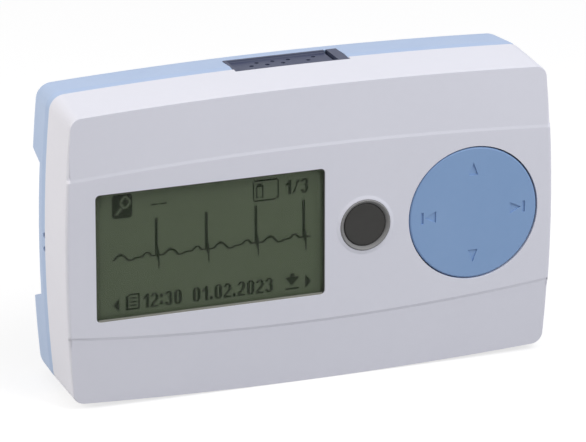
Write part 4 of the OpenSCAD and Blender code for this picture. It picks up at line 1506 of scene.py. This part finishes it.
@dataclass(frozen=True)
class Lamp:
    """A square soft lamp turned to the object."""

    name: str
    place: Triple
    size: float
    power: float
    colour: Colour = (1.0, 1.0, 1.0)

    def hang(self, target: Vector) -> None:
        """Hangs the lamp.

        Args:
            target: The point that it lights.
        """
        light = bpy.data.lights.new(self.name, "AREA")
        light.size = self.size
        light.energy = self.power
        light.color = self.colour
        made = bpy.data.objects.new(self.name, light)
        bpy.context.scene.collection.objects.link(made)
        made.location = self.place
        made.rotation_euler = (target - made.location).to_track_quat("-Z", "Y").to_euler()
        made.visible_camera = False


@dataclass
class Studio:
    """Floor, lamps, surrounding light and camera."""

    camera_place: Triple = (-0.350739, -0.926470, 0.372461)
    azimuth: float = -20.760213
    elevation: float = 19.012887
    lens: float = 307.17
    sensor: float = 36.0
    surround: float = 0.42
    surround_colour: Colour = (0.97, 0.98, 1.0)
    floor_size: float = 6.0
    floor_colour: Colour = (0.37, 0.37, 0.375)
    floor_glow: float = 0.72
    floor_cells: int = 8
    floor_mottle: Pair = (0.01, 3.0)
    floor_scale: float = 40.0
    floor_span: Pair = (0.85, 0.95)
    clip_start: float = 10 * MM
    lamps: tuple[Lamp, ...] = (
        Lamp("upper lamp", (0.24, -0.32, 0.46), 0.40, 1.96),
        Lamp("left lamp", (-0.45, 0.04, 0.26), 0.35, 1.2, (1.0, 0.945, 0.85)))

    def build(self) -> None:
        """Builds the studio."""
        self.floor()
        self.world()
        self.camera()
        middle = (cad_bounds[0] + cad_bounds[1]) / 2
        for lamp in self.lamps:
            lamp.hang(middle)
        bpy.context.scene.view_settings.view_transform = "Standard"

    @staticmethod
    def seen(s: Sketch) -> Socket:
        """Adds up the rays that meet the background as white.

        Args:
            s: The sketch.

        Returns:
            A socket that is 1 for camera, glossy and transmission rays.
        """
        path = s.node("LightPath").outputs
        straight = s.plus(path["Is Camera Ray"], path["Is Glossy Ray"])
        return s.math("MINIMUM", s.plus(straight, path["Is Transmission Ray"]), 1.0)

    def floor(self) -> None:
        """Lays a wide pale floor that shows white and keeps the shadow."""
        bm = bmesh.new()
        bmesh.ops.create_grid(bm, x_segments=self.floor_cells, y_segments=self.floor_cells,
                              size=self.floor_size)
        mesh = bpy.data.meshes.new("floor")
        bm.to_mesh(mesh)
        bm.free()
        paint = bpy.data.materials.new("pale floor")
        s = Swatch(paint)
        s.show(s.mottled(self.floor_colour, *self.floor_mottle), s.uneven(self.floor_scale, self.floor_span))
        s.plain(Specular_IOR_Level=0.0, Emission_Color=(1.0, 1.0, 1.0, 1.0))
        s.feed(s.surface.inputs["Emission Strength"], s.times(self.seen(s), self.floor_glow))
        s.output(s.surface.outputs[0])
        mesh.materials.append(paint)
        made = bpy.data.objects.new("floor", mesh)
        bpy.context.scene.collection.objects.link(made)

    def world(self) -> None:
        """Sets even surrounding light, white where it is seen."""
        world = bpy.data.worlds.new("surround")
        bpy.context.scene.world = world
        world.use_nodes = True
        s = Sketch(world.node_tree)
        strength = s.ramp(self.seen(s), 0.0, 1.0, self.surround, 1.0)
        backdrop = s.wired("Background", {"Color": self.surround_colour, "Strength": strength})
        s.wired("OutputWorld", {"Surface": backdrop.outputs[0]})

    def camera(self) -> None:
        """Sets up the camera at the photograph's angle."""
        data = bpy.data.cameras.new("camera")
        data.sensor_width = self.sensor
        data.lens = self.lens
        data.clip_start = self.clip_start
        made = bpy.data.objects.new("camera", data)
        bpy.context.scene.collection.objects.link(made)
        a, e = math.radians(self.azimuth), math.radians(self.elevation)
        back = Vector((math.sin(a) * math.cos(e), -math.cos(a) * math.cos(e), math.sin(e)))
        right = Vector((math.cos(a), math.sin(a), 0.0))
        turn = Matrix((right, back.cross(right), back)).transposed().to_4x4()
        made.matrix_world = Matrix.Translation(self.camera_place) @ turn
        bpy.context.scene.camera = made


def main() -> None:
    """Builds the studio and the sub-assemblies in order."""
    logging.basicConfig(level=logging.INFO, format="%(name)s: %(message)s")
    datum = Datum.read()
    for part in (Studio(), Shells(datum), Keys(datum), DisplayUnit(), CableSocket(), Insides()):
        part.build()
        log.info("%s finished", type(part).__name__)


if __name__ == "__main__":
    main()
